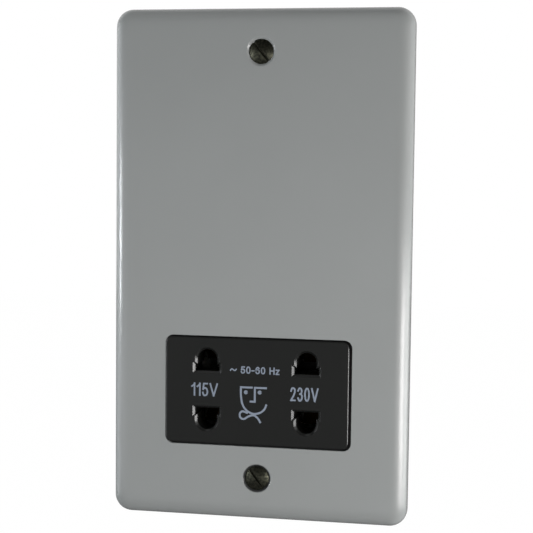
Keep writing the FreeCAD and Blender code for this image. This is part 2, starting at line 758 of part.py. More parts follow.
def build_rear_housing():
    body = new_body("rear_housing")
    rim = front_sketch(body, "case_outline", y="lid_back")
    rounded_outline(rim, "housing_width", "housing_height", "housing_corner_radius")
    block = pad_back(body, "case_block", rim, "housing_back - lid_back")
    mouth = value("lid_back") + 0.01
    opened = face_names(block, lambda face: face.BoundBox.YMax < mouth)
    shell = dressed(body, "Thickness", "case_shell", block, opened, "Value", "housing_wall")
    shell.Reversed = True
    back = value("housing_back")
    edges = edge_names(shell, lambda edge: at_depth(edge, back))
    dressed(body, "Fillet", "case_back_edge", shell, edges, "Radius", "housing_edge_radius")
    wall = front_sketch(body, "partition_outline", z="-partition_drop", y="lid_back + rim_clearance")
    rectangle(wall, "housing_width - housing_wall", "partition_wall")
    pad_back(body, "partition", wall, "housing_floor - lid_back")
    columns = circles(front_sketch(body, "pillar_outline", y="boss_end + rim_clearance"),
                      PILLARS, "pillar")
    pad_back(body, "pillars", columns, "housing_floor - boss_end")
    seats = circles(front_sketch(body, "core_boss_outline", z="core_rise", y="core_back"),
                    CORE_BOLTS, "core_boss")
    pad_back(body, "core_bosses", seats, "housing_floor - core_back + rim_clearance")
    ways = circles(front_sketch(body, "screw_way_outline", y="boss_end"),
                   PILLARS, "housing_screw + 2 * screw_clearance")
    pocket_back(body, "screw_ways", ways, "housing_back - boss_end")
    sinks = circles(front_sketch(body, "screw_sink_outline", y="housing_back"),
                    PILLARS, "housing_screw_head + 2 * screw_clearance")
    pocket_front(body, "screw_sinks", sinks, "housing_back - screw_seat")
    holes = circles(front_sketch(body, "core_hole_outline", z="core_rise", y="core_back"),
                    CORE_BOLTS, "core_bolt + 2 * thread_clearance")
    pocket_back(body, "core_holes", holes, "core_bolt_grip + screw_clearance")
    passage = new_sketch(body, "passage_outline", "XY_Plane", along="partition_wall - partition_drop")
    box_outline(passage, "-partition_notch / 2", "partition_notch / 2", "core_back", "housing_floor")
    item = feature(body, "Pocket", "lead_passage", passage)
    bind(item, "Length", "partition_wall * 2")
    notch = front_sketch(body, "terminal_notch_outline", y="block_front - block_clearance")
    box_outline(notch, "-block_width / 2 - block_clearance", "block_width / 2 + block_clearance",
                "housing_bottom - housing_wall", "block_top + block_clearance")
    pocket_back(body, "terminal_notch", notch, "housing_back - block_front + housing_wall")
    return body


def build_housing_screws():
    body = new_body("housing_screws")
    heads = circles(front_sketch(body, "head_outline", y="screw_seat"), PILLARS, "housing_screw_head")
    pad_back(body, "heads", heads, "housing_screw_head_height")
    shanks = circles(front_sketch(body, "shank_outline", y="screw_seat"), PILLARS, "housing_screw")
    pad_front(body, "shanks", shanks, "housing_screw_length")
    drive_slots(body, "slots", PILLARS, "screw_seat + housing_screw_head_height",
                "housing_screw_head * 1.2", pocket_front)
    return body


def build_contact_carrier():
    body = new_body("contact_carrier", *SOCKET)
    plate = front_sketch(body, "carrier_outline", y="carrier_front")
    ear, middle = "carrier_width / 2", "carrier_middle_width / 2"
    low, high = "carrier_ear_height / 2", "carrier_height / 2"
    outline(plate, [
        (f"-{middle}", f"-{high}"), (middle, f"-{high}"),
        (middle, f"-{low}"), (ear, f"-{low}"),
        (ear, low), (middle, low),
        (middle, high), (f"-{middle}", high),
        (f"-{middle}", low), (f"-{ear}", low),
        (f"-{ear}", f"-{low}"), (f"-{middle}", f"-{low}"),
    ])
    pad_back(body, "carrier", plate, "carrier_thickness")
    guide = front_sketch(body, "guide_outline", z="actuator_offset", y="carrier_back")
    rectangle(guide, "guide_width", "guide_height")
    pad_back(body, "guide", guide, "guide_length + cheek_length")
    seat = front_sketch(body, "switch_seat_outline", z="actuator_offset", y="switch_front")
    rectangle(seat, "switch_width + 2 * block_clearance", "guide_height * 2")
    pocket_back(body, "switch_seat", seat, "cheek_length")
    centre = [("0", "actuator_offset")]
    cup = circles(front_sketch(body, "spring_seat_outline", y="carrier_front"), centre, "spring_seat")
    pocket_back(body, "spring_cup", cup, "spring_seat_depth")
    way = circles(front_sketch(body, "stem_way_outline", y="carrier_front"), centre,
                  "stem + 2 * guide_clearance")
    pocket_back(body, "stem_way", way, "carrier_thickness + guide_length")
    tails = front_sketch(body, "tail_way_outline", y="carrier_front")
    for middle in ("outlet_left", "outlet_right"):
        box_outline(tails, f"{middle} - strip_width / 2 - tail_clearance",
                    f"{middle} + strip_width / 2 + tail_clearance",
                    "tail_offset - strip_thickness / 2 - tail_clearance",
                    "tail_offset + strip_bend + tail_clearance")
    box_outline(tails, "common_tail_offset - common_tail_width / 2 - tail_clearance",
                "common_tail_offset + common_tail_width / 2 + tail_clearance",
                "-strip_bend - tail_clearance", "strip_thickness / 2 + tail_clearance")
    pocket_back(body, "tail_ways", tails, "carrier_thickness")
    rivets = circles(front_sketch(body, "rivet_hole_outline", y="carrier_front"), RIVETS,
                     "rivet + 2 * thread_clearance")
    pocket_back(body, "rivet_holes", rivets, "carrier_thickness")
    screws = circles(front_sketch(body, "screw_hole_outline", y="carrier_front"), POSTS,
                     "housing_screw + 2 * screw_clearance")
    pocket_back(body, "screw_holes", screws, "carrier_thickness")
    return body


def build_carrier_screws():
    body = new_body("carrier_screws", *SOCKET)
    heads = circles(front_sketch(body, "head_outline", y="carrier_back"), POSTS, "housing_screw_head")
    pad_back(body, "heads", heads, "housing_screw_head_height")
    shanks = circles(front_sketch(body, "shank_outline", y="carrier_back"), POSTS, "housing_screw")
    pad_front(body, "shanks", shanks, "carrier_screw_length")
    drive_slots(body, "slots", POSTS, "carrier_back + housing_screw_head_height",
                "housing_screw_head * 1.2", pocket_front)
    return body


def leaf_corners(side):
    """Depth and height of a contact leaf's bends, from its foot on the carrier to its tip."""
    return [
        ("foot_middle", f"{side}leaf_root"),
        ("foot_middle - leaf_root_length", f"{side}leaf_root"),
        ("foot_middle - leaf_bow_reach", f"{side}leaf_bow"),
        ("foot_middle - leaf_tip_reach", f"{side}leaf_tip"),
    ]


def swept(body, name, section, path):
    item = feature(body, "AdditivePipe", name, section)
    item.Spine = (path, [])
    path.Visibility = False
    return item


def build_outlet_contact(label, middle):
    body = new_body(label, *SOCKET)
    path = new_sketch(body, "leaf_path", "YZ_Plane", along=middle)
    start = [("tail_end", "tail_offset"), ("foot_middle", "tail_offset")]
    bent_path(path, start + leaf_corners(""), "strip_bend")
    section = front_sketch(body, "leaf_section", x=middle, z="tail_offset", y="tail_end")
    swept(body, "leaf", rectangle(section, "strip_width", "strip_thickness"), path)
    hole = circles(front_sketch(body, "rivet_hole_outline", y="foot_middle - strip_thickness"),
                   [(middle, "rivet_offset")], "rivet + 2 * thread_clearance")
    pocket_back(body, "rivet_hole", hole, "strip_thickness * 2")
    return body


def build_contact_common():
    body = new_body("contact_common", *SOCKET)
    bar = front_sketch(body, "bridge_outline", y="carrier_front - strip_thickness")
    box_outline(bar, "outlet_left - strip_width / 2", "outlet_right + strip_width / 2",
                "-tail_offset - bridge_width", "-tail_offset")
    pad_back(body, "bridge", bar, "strip_thickness")
    path = new_sketch(body, "leaf_path", "YZ_Plane", along="outlet_left")
    bent_path(path, [("foot_middle", "-tail_offset")] + leaf_corners("-"), "strip_bend")
    section = new_sketch(body, "leaf_section", "XY_Plane", "outlet_left", "foot_middle", "-tail_offset")
    leaf = swept(body, "leaf", rectangle(section, "strip_width", "strip_thickness"), path)
    mirrored(body, "leaves", [leaf], "YZ_Plane")
    tail_path = new_sketch(body, "tail_path", "YZ_Plane", along="common_tail_offset")
    bent_path(tail_path, [("foot_middle", "-tail_offset - bridge_width / 2"), ("foot_middle", "0"),
                          ("common_end", "0")], "strip_bend")
    tail_section = new_sketch(body, "tail_section", "XY_Plane", "common_tail_offset", "foot_middle",
                              "-tail_offset - bridge_width / 2")
    rectangle(tail_section, "common_tail_width", "strip_thickness")
    swept(body, "tail", tail_section, tail_path)
    holes = circles(front_sketch(body, "rivet_hole_outline", y="foot_middle - strip_thickness"),
                    [("outlet_left", "-rivet_offset"), ("outlet_right", "-rivet_offset")],
                    "rivet + 2 * thread_clearance")
    pocket_back(body, "rivet_holes", holes, "strip_thickness * 2")
    return body


def build_contact_rivets():
    body = new_body("contact_rivets", *SOCKET)
    foot = "carrier_front - strip_thickness"
    shanks = circles(front_sketch(body, "shank_outline", y=foot), RIVETS, "rivet")
    pad_back(body, "shanks", shanks, "strip_thickness + carrier_thickness")
    fronts = circles(front_sketch(body, "front_head_outline", y=foot), RIVETS, "rivet_head")
    pad_front(body, "front_heads", fronts, "rivet_head_height")
    backs = circles(front_sketch(body, "back_head_outline", y="carrier_back"), RIVETS, "rivet_head")
    pad_back(body, "back_heads", backs, "rivet_head_height")
    return body


def build_plug_actuator():
    body = new_body("plug_actuator", *SOCKET)
    bar = front_sketch(body, "bar_outline", z="actuator_offset", y="actuator_front")
    rectangle(bar, "outlet_spacing + actuator_pad", "actuator_height")
    pad_back(body, "bar", bar, "actuator_depth")
    stem = circles(front_sketch(body, "stem_outline", y="actuator_back"),
                   [("0", "actuator_offset")], "stem")
    pad_back(body, "stem_form", stem, "stem_length")
    return body


def build_return_spring():
    body = new_body("return_spring", *SOCKET)
    wire = new_sketch(body, "wire_outline", "YZ_Plane",
                      "actuator_back + spring_wire / 2 + thread_clearance", "actuator_offset")
    circles(wire, [("0", "spring_coil / 2")], "spring_wire")
    coil = feature(body, "AdditiveHelix", "coil", wire)
    coil.ReferenceAxis = (wire, ["H_Axis"])
    coil.Mode = "height-turns-angle"
    bind(coil, "Height", "carrier_front + spring_seat_depth - actuator_back - spring_wire"
                         " - 2 * thread_clearance")
    bind(coil, "Turns", "spring_turns")
    return body


def build_switch_body():
    body = new_body("switch_body", *SOCKET)
    case = front_sketch(body, "switch_outline", z="actuator_offset", y="switch_front")
    rectangle(case, "switch_width", "switch_height")
    pad_back(body, "switch_case", case, "switch_depth")
    way = circles(front_sketch(body, "plunger_way_outline", y="switch_front"),
                  [("0", "actuator_offset")], "plunger + 2 * guide_clearance")
    pocket_back(body, "plunger_way", way, "plunger_seat + actuator_stroke + screw_clearance")
    return body


def build_switch_plunger():
    body = new_body("switch_plunger", *SOCKET)
    rod = circles(front_sketch(body, "rod_outline", y="stem_end"), [("0", "actuator_offset")], "plunger")
    pad_back(body, "rod", rod, "switch_front + plunger_seat - stem_end")
    return body


def build_switch_tabs():
    body = new_body("switch_tabs")
    upper = new_sketch(body, "load_tab_outline", "XY_Plane", "socket_shift - tab_offset", "lead_line",
                       "switch_top")
    pad(body, "load_tab", rectangle(upper, "tab_width", "tab_thickness"), "tab_length")
    lower = new_sketch(body, "live_tab_outline", "XY_Plane", "0", "terminal_tail_line", "switch_bottom")
    pad(body, "live_tab", rectangle(lower, "tab_width", "tab_thickness"), "tab_drop", True)
    return body


def build_core_e_stack():
    body = new_body("core_e_stack")
    profile = front_sketch(body, "e_outline", z="core_rise", y="core_front")
    back, gap, yoke = "-core_width / 2", "window / 2", "-window / 2"
    outline(profile, [
        (back, "-core_height / 2"), (gap, "-core_height / 2"),
        (gap, "-core_leg * 2"), (yoke, "-core_leg * 2"),
        (yoke, "-core_leg"), (gap, "-core_leg"),
        (gap, "core_leg"), (yoke, "core_leg"),
        (yoke, "core_leg * 2"), (gap, "core_leg * 2"),
        (gap, "core_height / 2"), (back, "core_height / 2"),
    ])
    pad_back(body, "laminations", profile, "core_stack")
    holes = circles(front_sketch(body, "hole_outline", z="core_rise", y="core_front"),
                    CORE_BOLTS[:2], "core_hole")
    pocket_back(body, "holes", holes, "core_stack")
    return body


def build_core_i_stack():
    body = new_body("core_i_stack")
    profile = front_sketch(body, "i_outline", z="core_rise", y="core_front")
    box_outline(profile, "window / 2", "core_width / 2", "-core_height / 2", "core_height / 2")
    pad_back(body, "laminations", profile, "core_stack")
    holes = circles(front_sketch(body, "hole_outline", z="core_rise", y="core_front"),
                    CORE_BOLTS[2:], "core_hole")
    pocket_back(body, "holes", holes, "core_stack")
    return body


def build_core_bolts():
    body = new_body("core_bolts", z="core_rise")
    heads = circles(front_sketch(body, "head_outline", y="core_front"), CORE_BOLTS, "core_bolt_head")
    pad_front(body, "heads", heads, "core_bolt_head_height")
    shanks = circles(front_sketch(body, "shank_outline", y="core_front"), CORE_BOLTS, "core_bolt")
    pad_back(body, "shanks", shanks, "core_stack + core_bolt_grip")
    drive_slots(body, "slots", CORE_BOLTS, "core_front - core_bolt_head_height",
                "core_bolt_head * 1.2", pocket_back)
    return body


def coil_sketch(body, name, x):
    """A sketch across the coil: Y across, Z up, at position X, centred on the core."""
    return new_sketch(body, name, "YZ_Plane", "core_middle", "core_rise", x)


def build_coil_bobbin():
    body = new_body("coil_bobbin")
    tube = coil_sketch(body, "tube_outline", "-bobbin_length / 2")
    rectangle(tube, "bobbin_outer_depth", "bobbin_outer_height")
    pad(body, "tube", tube, "bobbin_length")
    cheek = coil_sketch(body, "flange_outline", "-bobbin_length / 2")
    rounded_outline(cheek, "coil_depth", "flange_height", "winding_corner_radius")
    first = pad(body, "flange", cheek, "bobbin_flange")
    in_line(body, "flanges", [first], "X_Axis", "bobbin_length - bobbin_flange", 3)
    way = coil_sketch(body, "leg_way_outline", "-bobbin_length / 2")
    rectangle(way, "bobbin_inner_depth", "bobbin_inner_height")
    pocket_front(body, "leg_way", way, "bobbin_length")
    return body


def build_winding(label, start):
    body = new_body(label)
    ring = coil_sketch(body, "winding_outline", start)
    rounded_outline(ring, "winding_depth", "winding_height", "winding_corner_radius")
    rectangle(ring, "bobbin_outer_depth", "bobbin_outer_height")
    pad(body, "winding", ring, "winding_length")
    return body


def build_winding_tapes():
    body = new_body("winding_tapes")
    ring = coil_sketch(body, "tape_outline", "winding_start")
    rounded_outline(ring, "winding_depth + 2 * tape_thickness", "winding_height + 2 * tape_thickness",
                    "winding_corner_radius + tape_thickness")
    rounded_outline(ring, "winding_depth", "winding_height", "winding_corner_radius")
    tape = pad(body, "tape", ring, "winding_length")
    mirrored(body, "tapes", [tape], "YZ_Plane")
    return body


def build_thermal_fuse():
    body = new_body("thermal_fuse", "fuse_line", "lead_line", "coil_bottom")
    profile = new_sketch(body, "fuse_outline", "XZ_Plane")
    outline(profile, [
        ("0", "-fuse_length - 2 * fuse_wire_length"),
        ("fuse_wire / 2", "-fuse_length - 2 * fuse_wire_length"),
        ("fuse_wire / 2", "-fuse_length - fuse_wire_length"),
        ("fuse / 2", "-fuse_length - fuse_wire_length"),
        ("fuse / 2", "-fuse_wire_length"),
        ("fuse_wire / 2", "-fuse_wire_length"),
        ("fuse_wire / 2", "0"),
        ("0", "0"),
    ])
    item = turned(body, "fuse_form", profile)
    item.ReferenceAxis = (profile, ["V_Axis"])
    return body


def build_earth_tag():
    body = new_body("earth_tag")
    seat = "lid_back - tag_thickness"
    ring = circles(front_sketch(body, "ring_outline", y=seat), STUDS[3:], "tag_ring")
    pad_back(body, "ring", ring, "tag_thickness")
    tongue = front_sketch(body, "tongue_outline", y=seat)
    edges = ("(stud_low_spacing - tag_width) / 2", "(stud_low_spacing + tag_width) / 2")
    box_outline(tongue, *edges, "tag_foot - tag_thickness / 2", "-stud_low_drop")
    pad_back(body, "tongue", tongue, "tag_thickness")
    foot = front_sketch(body, "foot_outline", y=seat)
    box_outline(foot, *edges, "tag_foot - tag_thickness / 2", "tag_foot + tag_thickness / 2")
    pad_back(body, "foot", foot, "tag_length + tag_thickness")
    hole = circles(front_sketch(body, "hole_outline", y=seat), STUDS[3:], "stud + 2 * thread_clearance")
    pocket_back(body, "hole", hole, "tag_thickness")
    return body


def build_terminal_block():
    body = new_body("terminal_block")
    case = front_sketch(body, "block_outline", y="block_front")
    box_outline(case, "-block_width / 2", "block_width / 2", "housing_bottom", "block_top")
    pad_back(body, "block", case, "housing_back - block_front")
    top_lip = front_sketch(body, "top_lip_outline", y="housing_floor - block_lip")
    box_outline(top_lip, "-block_width / 2", "block_width / 2", "block_top", "block_top + block_lip")
    pad_back(body, "top_lip", top_lip, "block_lip")
    front_lip = front_sketch(body, "front_lip_outline", y="block_front - block_lip")
    box_outline(front_lip, "-block_width / 2", "block_width / 2", "housing_bottom + housing_wall",
                "housing_bottom + housing_wall + block_lip")
    pad_back(body, "front_lip", front_lip, "block_lip")
    wells = front_sketch(body, "well_outline", y="terminal_front")
    for middle in TERMINALS.values():
        box_outline(wells, f"{middle} - terminal_width / 2 - well_clearance",
                    f"{middle} + terminal_width / 2 + well_clearance",
                    "housing_bottom - housing_wall", "terminal_top")
    pocket_back(body, "wells", wells, "housing_back - terminal_front")
    ways = new_sketch(body, "tail_way_outline", "XY_Plane", "0", "terminal_tail_line", "block_top")
    for middle in TERMINALS.values():
        box_outline(ways, f"{middle} - terminal_tail / 2 - tail_clearance",
                    f"{middle} + terminal_tail / 2 + tail_clearance",
                    "-tab_thickness / 2 - tail_clearance", "tab_thickness / 2 + tail_clearance")
    item = feature(body, "Pocket", "tail_ways", ways)
    bind(item, "Length", "block_wall")
    return body


def build_terminal(name, middle):
    body = new_body(name + "_terminal", x=middle)
    pillar = front_sketch(body, "pillar_outline", y="terminal_front")
    box_outline(pillar, "-terminal_width / 2", "terminal_width / 2", "terminal_bottom", "terminal_top")
    pad_back(body, "pillar_form", pillar, "terminal_depth")
    tail = new_sketch(body, "tail_outline", "XY_Plane", "0", "terminal_tail_line", "terminal_top")
    pad(body, "tail", rectangle(tail, "terminal_tail", "tab_thickness"), "tail_top - terminal_top")
    bore = new_sketch(body, "bore_outline", "XY_Plane", "0", "terminal_bore_line", "terminal_bottom")
    pocket_front(body, "bore", circles(bore, [("0", "0")], "terminal_bore"), "terminal_bore_depth")
    screw = front_sketch(body, "screw_outline", y="terminal_back")
    circles(screw, [("0", "terminal_bottom + terminal_screw_rise")],
            "terminal_screw + 2 * thread_clearance")
    pocket_front(body, "screw_hole", screw, "terminal_back - terminal_bore_line")
    return body


def build_terminal_screws():
    body = new_body("terminal_screws", z="terminal_bottom")
    centres = [(middle, "terminal_screw_rise") for middle in TERMINALS.values()]
    heads = circles(front_sketch(body, "head_outline", y="terminal_head"), centres,
                    "terminal_screw_head")
    pad_back(body, "heads", heads, "terminal_screw_head_height")
    shanks = circles(front_sketch(body, "shank_outline", y="terminal_head"), centres, "terminal_screw")
    pad_front(body, "shanks", shanks,
              "terminal_head - terminal_bore_line - terminal_bore / 2 - screw_clearance")
    drive_slots(body, "slots", centres, "terminal_head + terminal_screw_head_height",
                "terminal_screw_head * 1.2", pocket_front)
    return body


def build_lead(label, width, bend, corners):
    """An insulated lead: straight runs joined by bends, from one soldered end to the other.

    Runs that meet in line go on without a bend.
    """
    points = [FreeCAD.Vector(*(value(formula) for formula in corner)) for corner in corners]
    edges = []
    last = points[0]
    for before, corner, after in zip(points, points[1:], points[2:]):
        inward = (before - corner).normalize()
        outward = (after - corner).normalize()
        if (inward + outward).Length < IN_LINE:
            continue
        half = inward.getAngle(outward) / 2
        reach = value(bend) / math.tan(half)
        middle = (inward + outward).normalize() * (value(bend) / math.sin(half) - value(bend))
        start, end = corner + inward * reach, corner + outward * reach
        edges.append(Part.LineSegment(last, start).toShape())
        edges.append(Part.Arc(start, corner + middle, end).toShape())
        last = end
    edges.append(Part.LineSegment(last, points[-1]).toShape())
    section = Part.Wire(Part.Circle(points[0], points[1] - points[0], value(width) / 2).toShape())
    item = doc.addObject("Part::Feature", label)
    item.Label = label
    item.Shape = Part.Wire(edges).makePipeShell([section], True, True)
    return item


def build_leads():
    top = ("lead_line", "coil_bottom")
    outer = "winding_start + winding_length - lead"
    beside = outer + " - lead - lead_room"
    inner = "winding_start + lead * 1.5"
    left, right = "socket_shift + outlet_left", "socket_shift + outlet_right"
    common = "socket_shift + common_tail_offset"
    load = "socket_shift - tab_offset"
    return [
        build_lead("lead_common", "lead", "lead_bend", [
            (beside, *top),
            (beside, "lead_line", "lead_turn"),
            (common, "lead_line", "lead_turn - 4 * lead_bend"),
            (common, "lead_line", "socket_rise + strip_thickness / 2"),
        ]),
        build_lead("lead_230v", "lead", "lead_bend", [
            (outer, *top),
            (outer, "lead_line", "lead_turn"),
            (right, "lead_front_line", "lead_turn - 4 * lead_bend"),
            (right, "lead_front_line", "upper_tail"),
        ]),
        build_lead("lead_115v", "lead", "lead_bend", [
            (inner, *top),
            (inner, "lead_line", "lead_turn"),
            (inner, "lead_front_line", "lead_turn"),
            (left, "lead_front_line", "lead_turn"),
            (left, "lead_front_line", "upper_tail"),
        ]),
        build_lead("lead_switched", "lead", "lead_bend", [
            (load, *top),
            (load, "lead_line", "switch_top + tab_length"),
        ]),
        build_lead("lead_neutral", "lead", "lead_bend", [
            ("fuse_line", "lead_line", "fuse_bottom"),
            ("fuse_line", "lead_line", "fuse_bottom - 2 * lead_bend"),
            ("-terminal_spacing", "terminal_tail_line", "fuse_bottom - 5 * lead_bend"),
            ("-terminal_spacing", "terminal_tail_line", "tail_top"),
        ]),
        build_lead("earth_lead", "earth_lead_width", "earth_lead_bend", [
            ("terminal_spacing", "terminal_tail_line", "tail_top"),
            ("terminal_spacing", "terminal_tail_line", "tag_foot"),
            ("stud_low_spacing / 2", "terminal_tail_line", "tag_foot"),
            ("stud_low_spacing / 2", "lid_back + tag_length", "tag_foot"),
        ]),
    ]


pieces = [
    build_face_plate(),
    build_fixing_screws(),
    build_plate_studs(),
    build_stud_nuts(),
    build_front_moulding(),
    build_rear_housing(),
    build_housing_screws(),
    build_contact_carrier(),
    build_carrier_screws(),
    build_outlet_contact("contact_115v", "outlet_left"),
    build_outlet_contact("contact_230v", "outlet_right"),
    build_contact_common(),
    build_contact_rivets(),
    build_plug_actuator(),
    build_return_spring(),
    build_switch_body(),
    build_switch_plunger(),
    build_switch_tabs(),
    build_core_e_stack(),
    build_core_i_stack(),
    build_core_bolts(),
    build_coil_bobbin(),
    build_winding("primary_winding", "-winding_start - winding_length"),
    build_winding("secondary_winding", "winding_start"),
    build_winding_tapes(),
    build_thermal_fuse(),
    build_earth_tag(),
    build_terminal_block(),
    build_terminal_screws(),
]
pieces += [build_terminal(name, middle) for name, middle in TERMINALS.items()]
pieces += build_leads()
doc.recompute()

for item in doc.Objects:
    if "Invalid" in item.State or "Error" in item.State:
        raise RuntimeError(f"{item.Name} did not build: {item.State}")
for piece in pieces:
    if piece.Shape.isNull() or not piece.Shape.isValid():
        raise RuntimeError(f"{piece.Label} has no valid shape")

os.makedirs("parts", exist_ok=True)
for piece in pieces:
    piece.Shape.exportStep(f"parts/{piece.Label}.step")
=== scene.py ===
import json
import math

import bmesh
import bpy
from bpy.props import FloatProperty, FloatVectorProperty, PointerProperty
from mathutils import Matrix, Vector

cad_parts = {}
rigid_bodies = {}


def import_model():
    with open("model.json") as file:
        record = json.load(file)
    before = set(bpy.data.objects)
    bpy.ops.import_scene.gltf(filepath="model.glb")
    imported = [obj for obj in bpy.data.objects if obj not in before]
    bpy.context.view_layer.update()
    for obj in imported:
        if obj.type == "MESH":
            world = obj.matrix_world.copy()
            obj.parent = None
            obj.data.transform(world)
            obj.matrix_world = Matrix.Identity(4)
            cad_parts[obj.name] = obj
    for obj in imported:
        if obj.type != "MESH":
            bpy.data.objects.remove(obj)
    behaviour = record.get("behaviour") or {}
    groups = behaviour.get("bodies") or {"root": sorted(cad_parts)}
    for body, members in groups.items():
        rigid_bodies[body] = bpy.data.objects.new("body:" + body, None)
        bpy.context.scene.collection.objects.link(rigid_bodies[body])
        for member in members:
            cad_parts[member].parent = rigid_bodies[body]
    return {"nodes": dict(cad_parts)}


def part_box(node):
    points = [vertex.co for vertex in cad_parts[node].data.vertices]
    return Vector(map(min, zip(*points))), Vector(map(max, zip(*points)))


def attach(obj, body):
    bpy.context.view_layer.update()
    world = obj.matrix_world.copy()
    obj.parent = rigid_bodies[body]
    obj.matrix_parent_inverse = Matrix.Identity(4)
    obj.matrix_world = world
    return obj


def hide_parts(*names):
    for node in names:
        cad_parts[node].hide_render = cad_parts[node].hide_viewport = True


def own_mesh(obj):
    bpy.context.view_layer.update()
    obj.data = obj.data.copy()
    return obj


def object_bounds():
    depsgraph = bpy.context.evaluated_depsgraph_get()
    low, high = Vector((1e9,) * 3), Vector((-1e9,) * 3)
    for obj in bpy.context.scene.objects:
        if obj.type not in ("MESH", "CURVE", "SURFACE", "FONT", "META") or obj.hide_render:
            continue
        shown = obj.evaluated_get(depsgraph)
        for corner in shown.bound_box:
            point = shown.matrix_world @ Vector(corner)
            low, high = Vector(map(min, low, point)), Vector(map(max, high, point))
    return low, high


for leftover in list(bpy.data.objects):
    bpy.data.objects.remove(leftover)
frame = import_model()
cad_low, cad_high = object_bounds()

bl_info = {
    "name": "Shaver Socket Finish",
    "version": (1, 0, 0),
    "blender": (4, 5, 0),
    "location": "View3D > Sidebar > Shaver Socket",
    "description": "Dresses a dual-voltage shaver socket: paint, mouldings, screws, print and studio",
    "category": "Object",
}

MM = 0.001
UNIT = "socket_unit"


def to_linear(code):
    """The linear colour of an sRGB hex value."""
    shades = [int(code[i:i + 2], 16) / 255 for i in (1, 3, 5)]
    return tuple(c / 12.92 if c <= 0.04045 else ((c + 0.055) / 1.055) ** 2.4 for c in shades)


def colour(label, code, about):
    """A colour that a user may change, given as a hex value."""
    return FloatVectorProperty(name=label, description=about, subtype="COLOR", size=3, min=0.0,
                               max=1.0, default=to_linear(code))


def length(label, millimetres, about):
    """A length that a user may change, given in millimetres."""
    return FloatProperty(name=label, description=about, subtype="DISTANCE", unit="LENGTH",
                         default=millimetres * MM, precision=5)


def angle(label, degrees, about):
    """An angle that a user may change, given in degrees."""
    return FloatProperty(name=label, description=about, subtype="ANGLE", unit="ROTATION",
                         default=math.radians(degrees))


class SocketColours(bpy.types.PropertyGroup):
    """Colours of the painted plate, the mouldings and the metal."""

    paint: colour("Plate paint", "#8e9190", "Satin grey paint of the face plate")
    insert: colour("Socket moulding", "#161716", "Black moulding round the pin slots")
    marks: colour("Printed marks", "#848e9d", "Pale ink of the voltage marks")
    fixing: colour("Fixing screws", "#4d4d42", "Dark bronze plating of the fixing screws")
    patina: colour("Fixing screw patina", "#2b2c26", "Darkest patches of the bronze plating")
    housing: colour("Rear housing", "#dcdcd6", "White moulding behind the plate")
    zinc: colour("Zinc plating", "#b4b6b8", "Plated screws, studs and nuts")
    brass: colour("Brass", "#c9a44c", "Terminals and tabs")
    bronze: colour("Contact bronze", "#7d6541", "Sprung contact strips and rivets")
    steel: colour("Spring steel", "#9ea2a6", "Return spring and the can of the thermal fuse")
    floor: colour("Floor", "#7c7c7c", "Light that the floor throws back at the part")


class SocketSizes(bpy.types.PropertyGroup):
    """Sizes of the detail that the finish adds."""

    roll_reach: length("Rolled edge reach", 7.4, "How far in from the outline the plate's rolled edge runs")
    roll: length("Rolled edge", 4.5, "Radius that eases the shading of the rolled edge")
    # painted shade: a ring round the lower fixing screw where the paint is darkened and dulled, standing in
    # for shade in its dimple
    shade_ring: length("Painted shade ring", 4.0, "Radius of the dirt that has settled round the lower fixing screw")
    head: length("Fixing head", 7.0, "Diameter of the fixing screws' heads")
    head_rise: length("Fixing head rise", 0.9, "How far the heads are domed")
    head_sink: length("Fixing head sink", 0.6, "How far the heads' rims lie behind the front of the plate")
    neck: length("Fixing neck", 3.0, "Diameter of the plain neck under the head")
    neck_length: length("Fixing neck end", 3.2, "Distance from the head's rim to the start of the thread")
    thread: length("Fixing thread", 3.5, "Outside diameter of the fixing thread")
    thread_pitch: length("Fixing thread pitch", 0.6, "Pitch of the fixing thread")
    tip: length("Fixing tip", 0.4, "Chamfer at the end of the fixing screws")
    slot_turn: angle("Fixing slot turn", -51.0, "Lean of both fixing screws' slots, seen from the front")
    slot_width: length("Fixing slot width", 0.7, "Width of the fixing screws' slots")
    slot_depth: length("Fixing slot depth", 1.1, "Depth of the fixing screws' slots")
    spring_wire: length("Spring wire", 0.6, "Diameter of the return spring's wire")
    spring_turns: FloatProperty(name="Spring turns", description="Turns of the return spring", default=6.0)
    press: length("Plug press", 4.0, "How far a plug's pins push the actuator and its spring")
    ink: length("Ink thickness", 0.03, "How thick the print is")
    stroke: length("Symbol stroke", 0.56, "Width of the symbol's lines")


class SocketView(bpy.types.PropertyGroup):
    """Where the camera stands and what it sees."""

    place: FloatVectorProperty(name="Camera place", description="Camera position in the part's frame",
                               subtype="TRANSLATION", unit="LENGTH", size=3,
                               default=(0.07703, -0.38849, 0.03067))
    yaw: angle("Camera yaw", 11.03, "Turn of the camera to the right of straight on")
    pitch: angle("Camera pitch", 4.44, "Rise of the camera above straight on")
    roll: angle("Camera roll", 0.62, "Lean of the camera")
    lens: FloatProperty(name="Lens", description="Focal length on a 36 mm frame", subtype="DISTANCE_CAMERA",
                        unit="CAMERA", default=94.21)


def feed(tree, node, inputs):
    """Give a node's sockets values or links."""
    for key, given in inputs.items():
        if isinstance(given, bpy.types.NodeSocket):
            tree.links.new(given, node.inputs[key])
        else:
            node.inputs[key].default_value = given


def add_node(tree, kind, inputs=None, **settings):
    """Add a node, set its own settings, and give its sockets values or links."""
    node = tree.nodes.new(kind)
    for key, setting in settings.items():
        setattr(node, key, setting)
    feed(tree, node, inputs or {})
    return node


# the colour sockets of a Mix node share their names with its other sockets, so they go by number
MIX_FIRST = 6
MIX_SECOND = 7
MIX_COLOUR = 2


def new_material(name):
    """A material with a shader, and its object coordinates in metres."""
    material = bpy.data.materials.new(name)
    material.use_nodes = True
    tree = material.node_tree
    tree.nodes.clear()
    place = add_node(tree, "ShaderNodeTexCoord").outputs["Object"]
    shader = add_node(tree, "ShaderNodeBsdfPrincipled")
    add_node(tree, "ShaderNodeOutputMaterial", {"Surface": shader.outputs["BSDF"]})
    return material, tree, place, shader


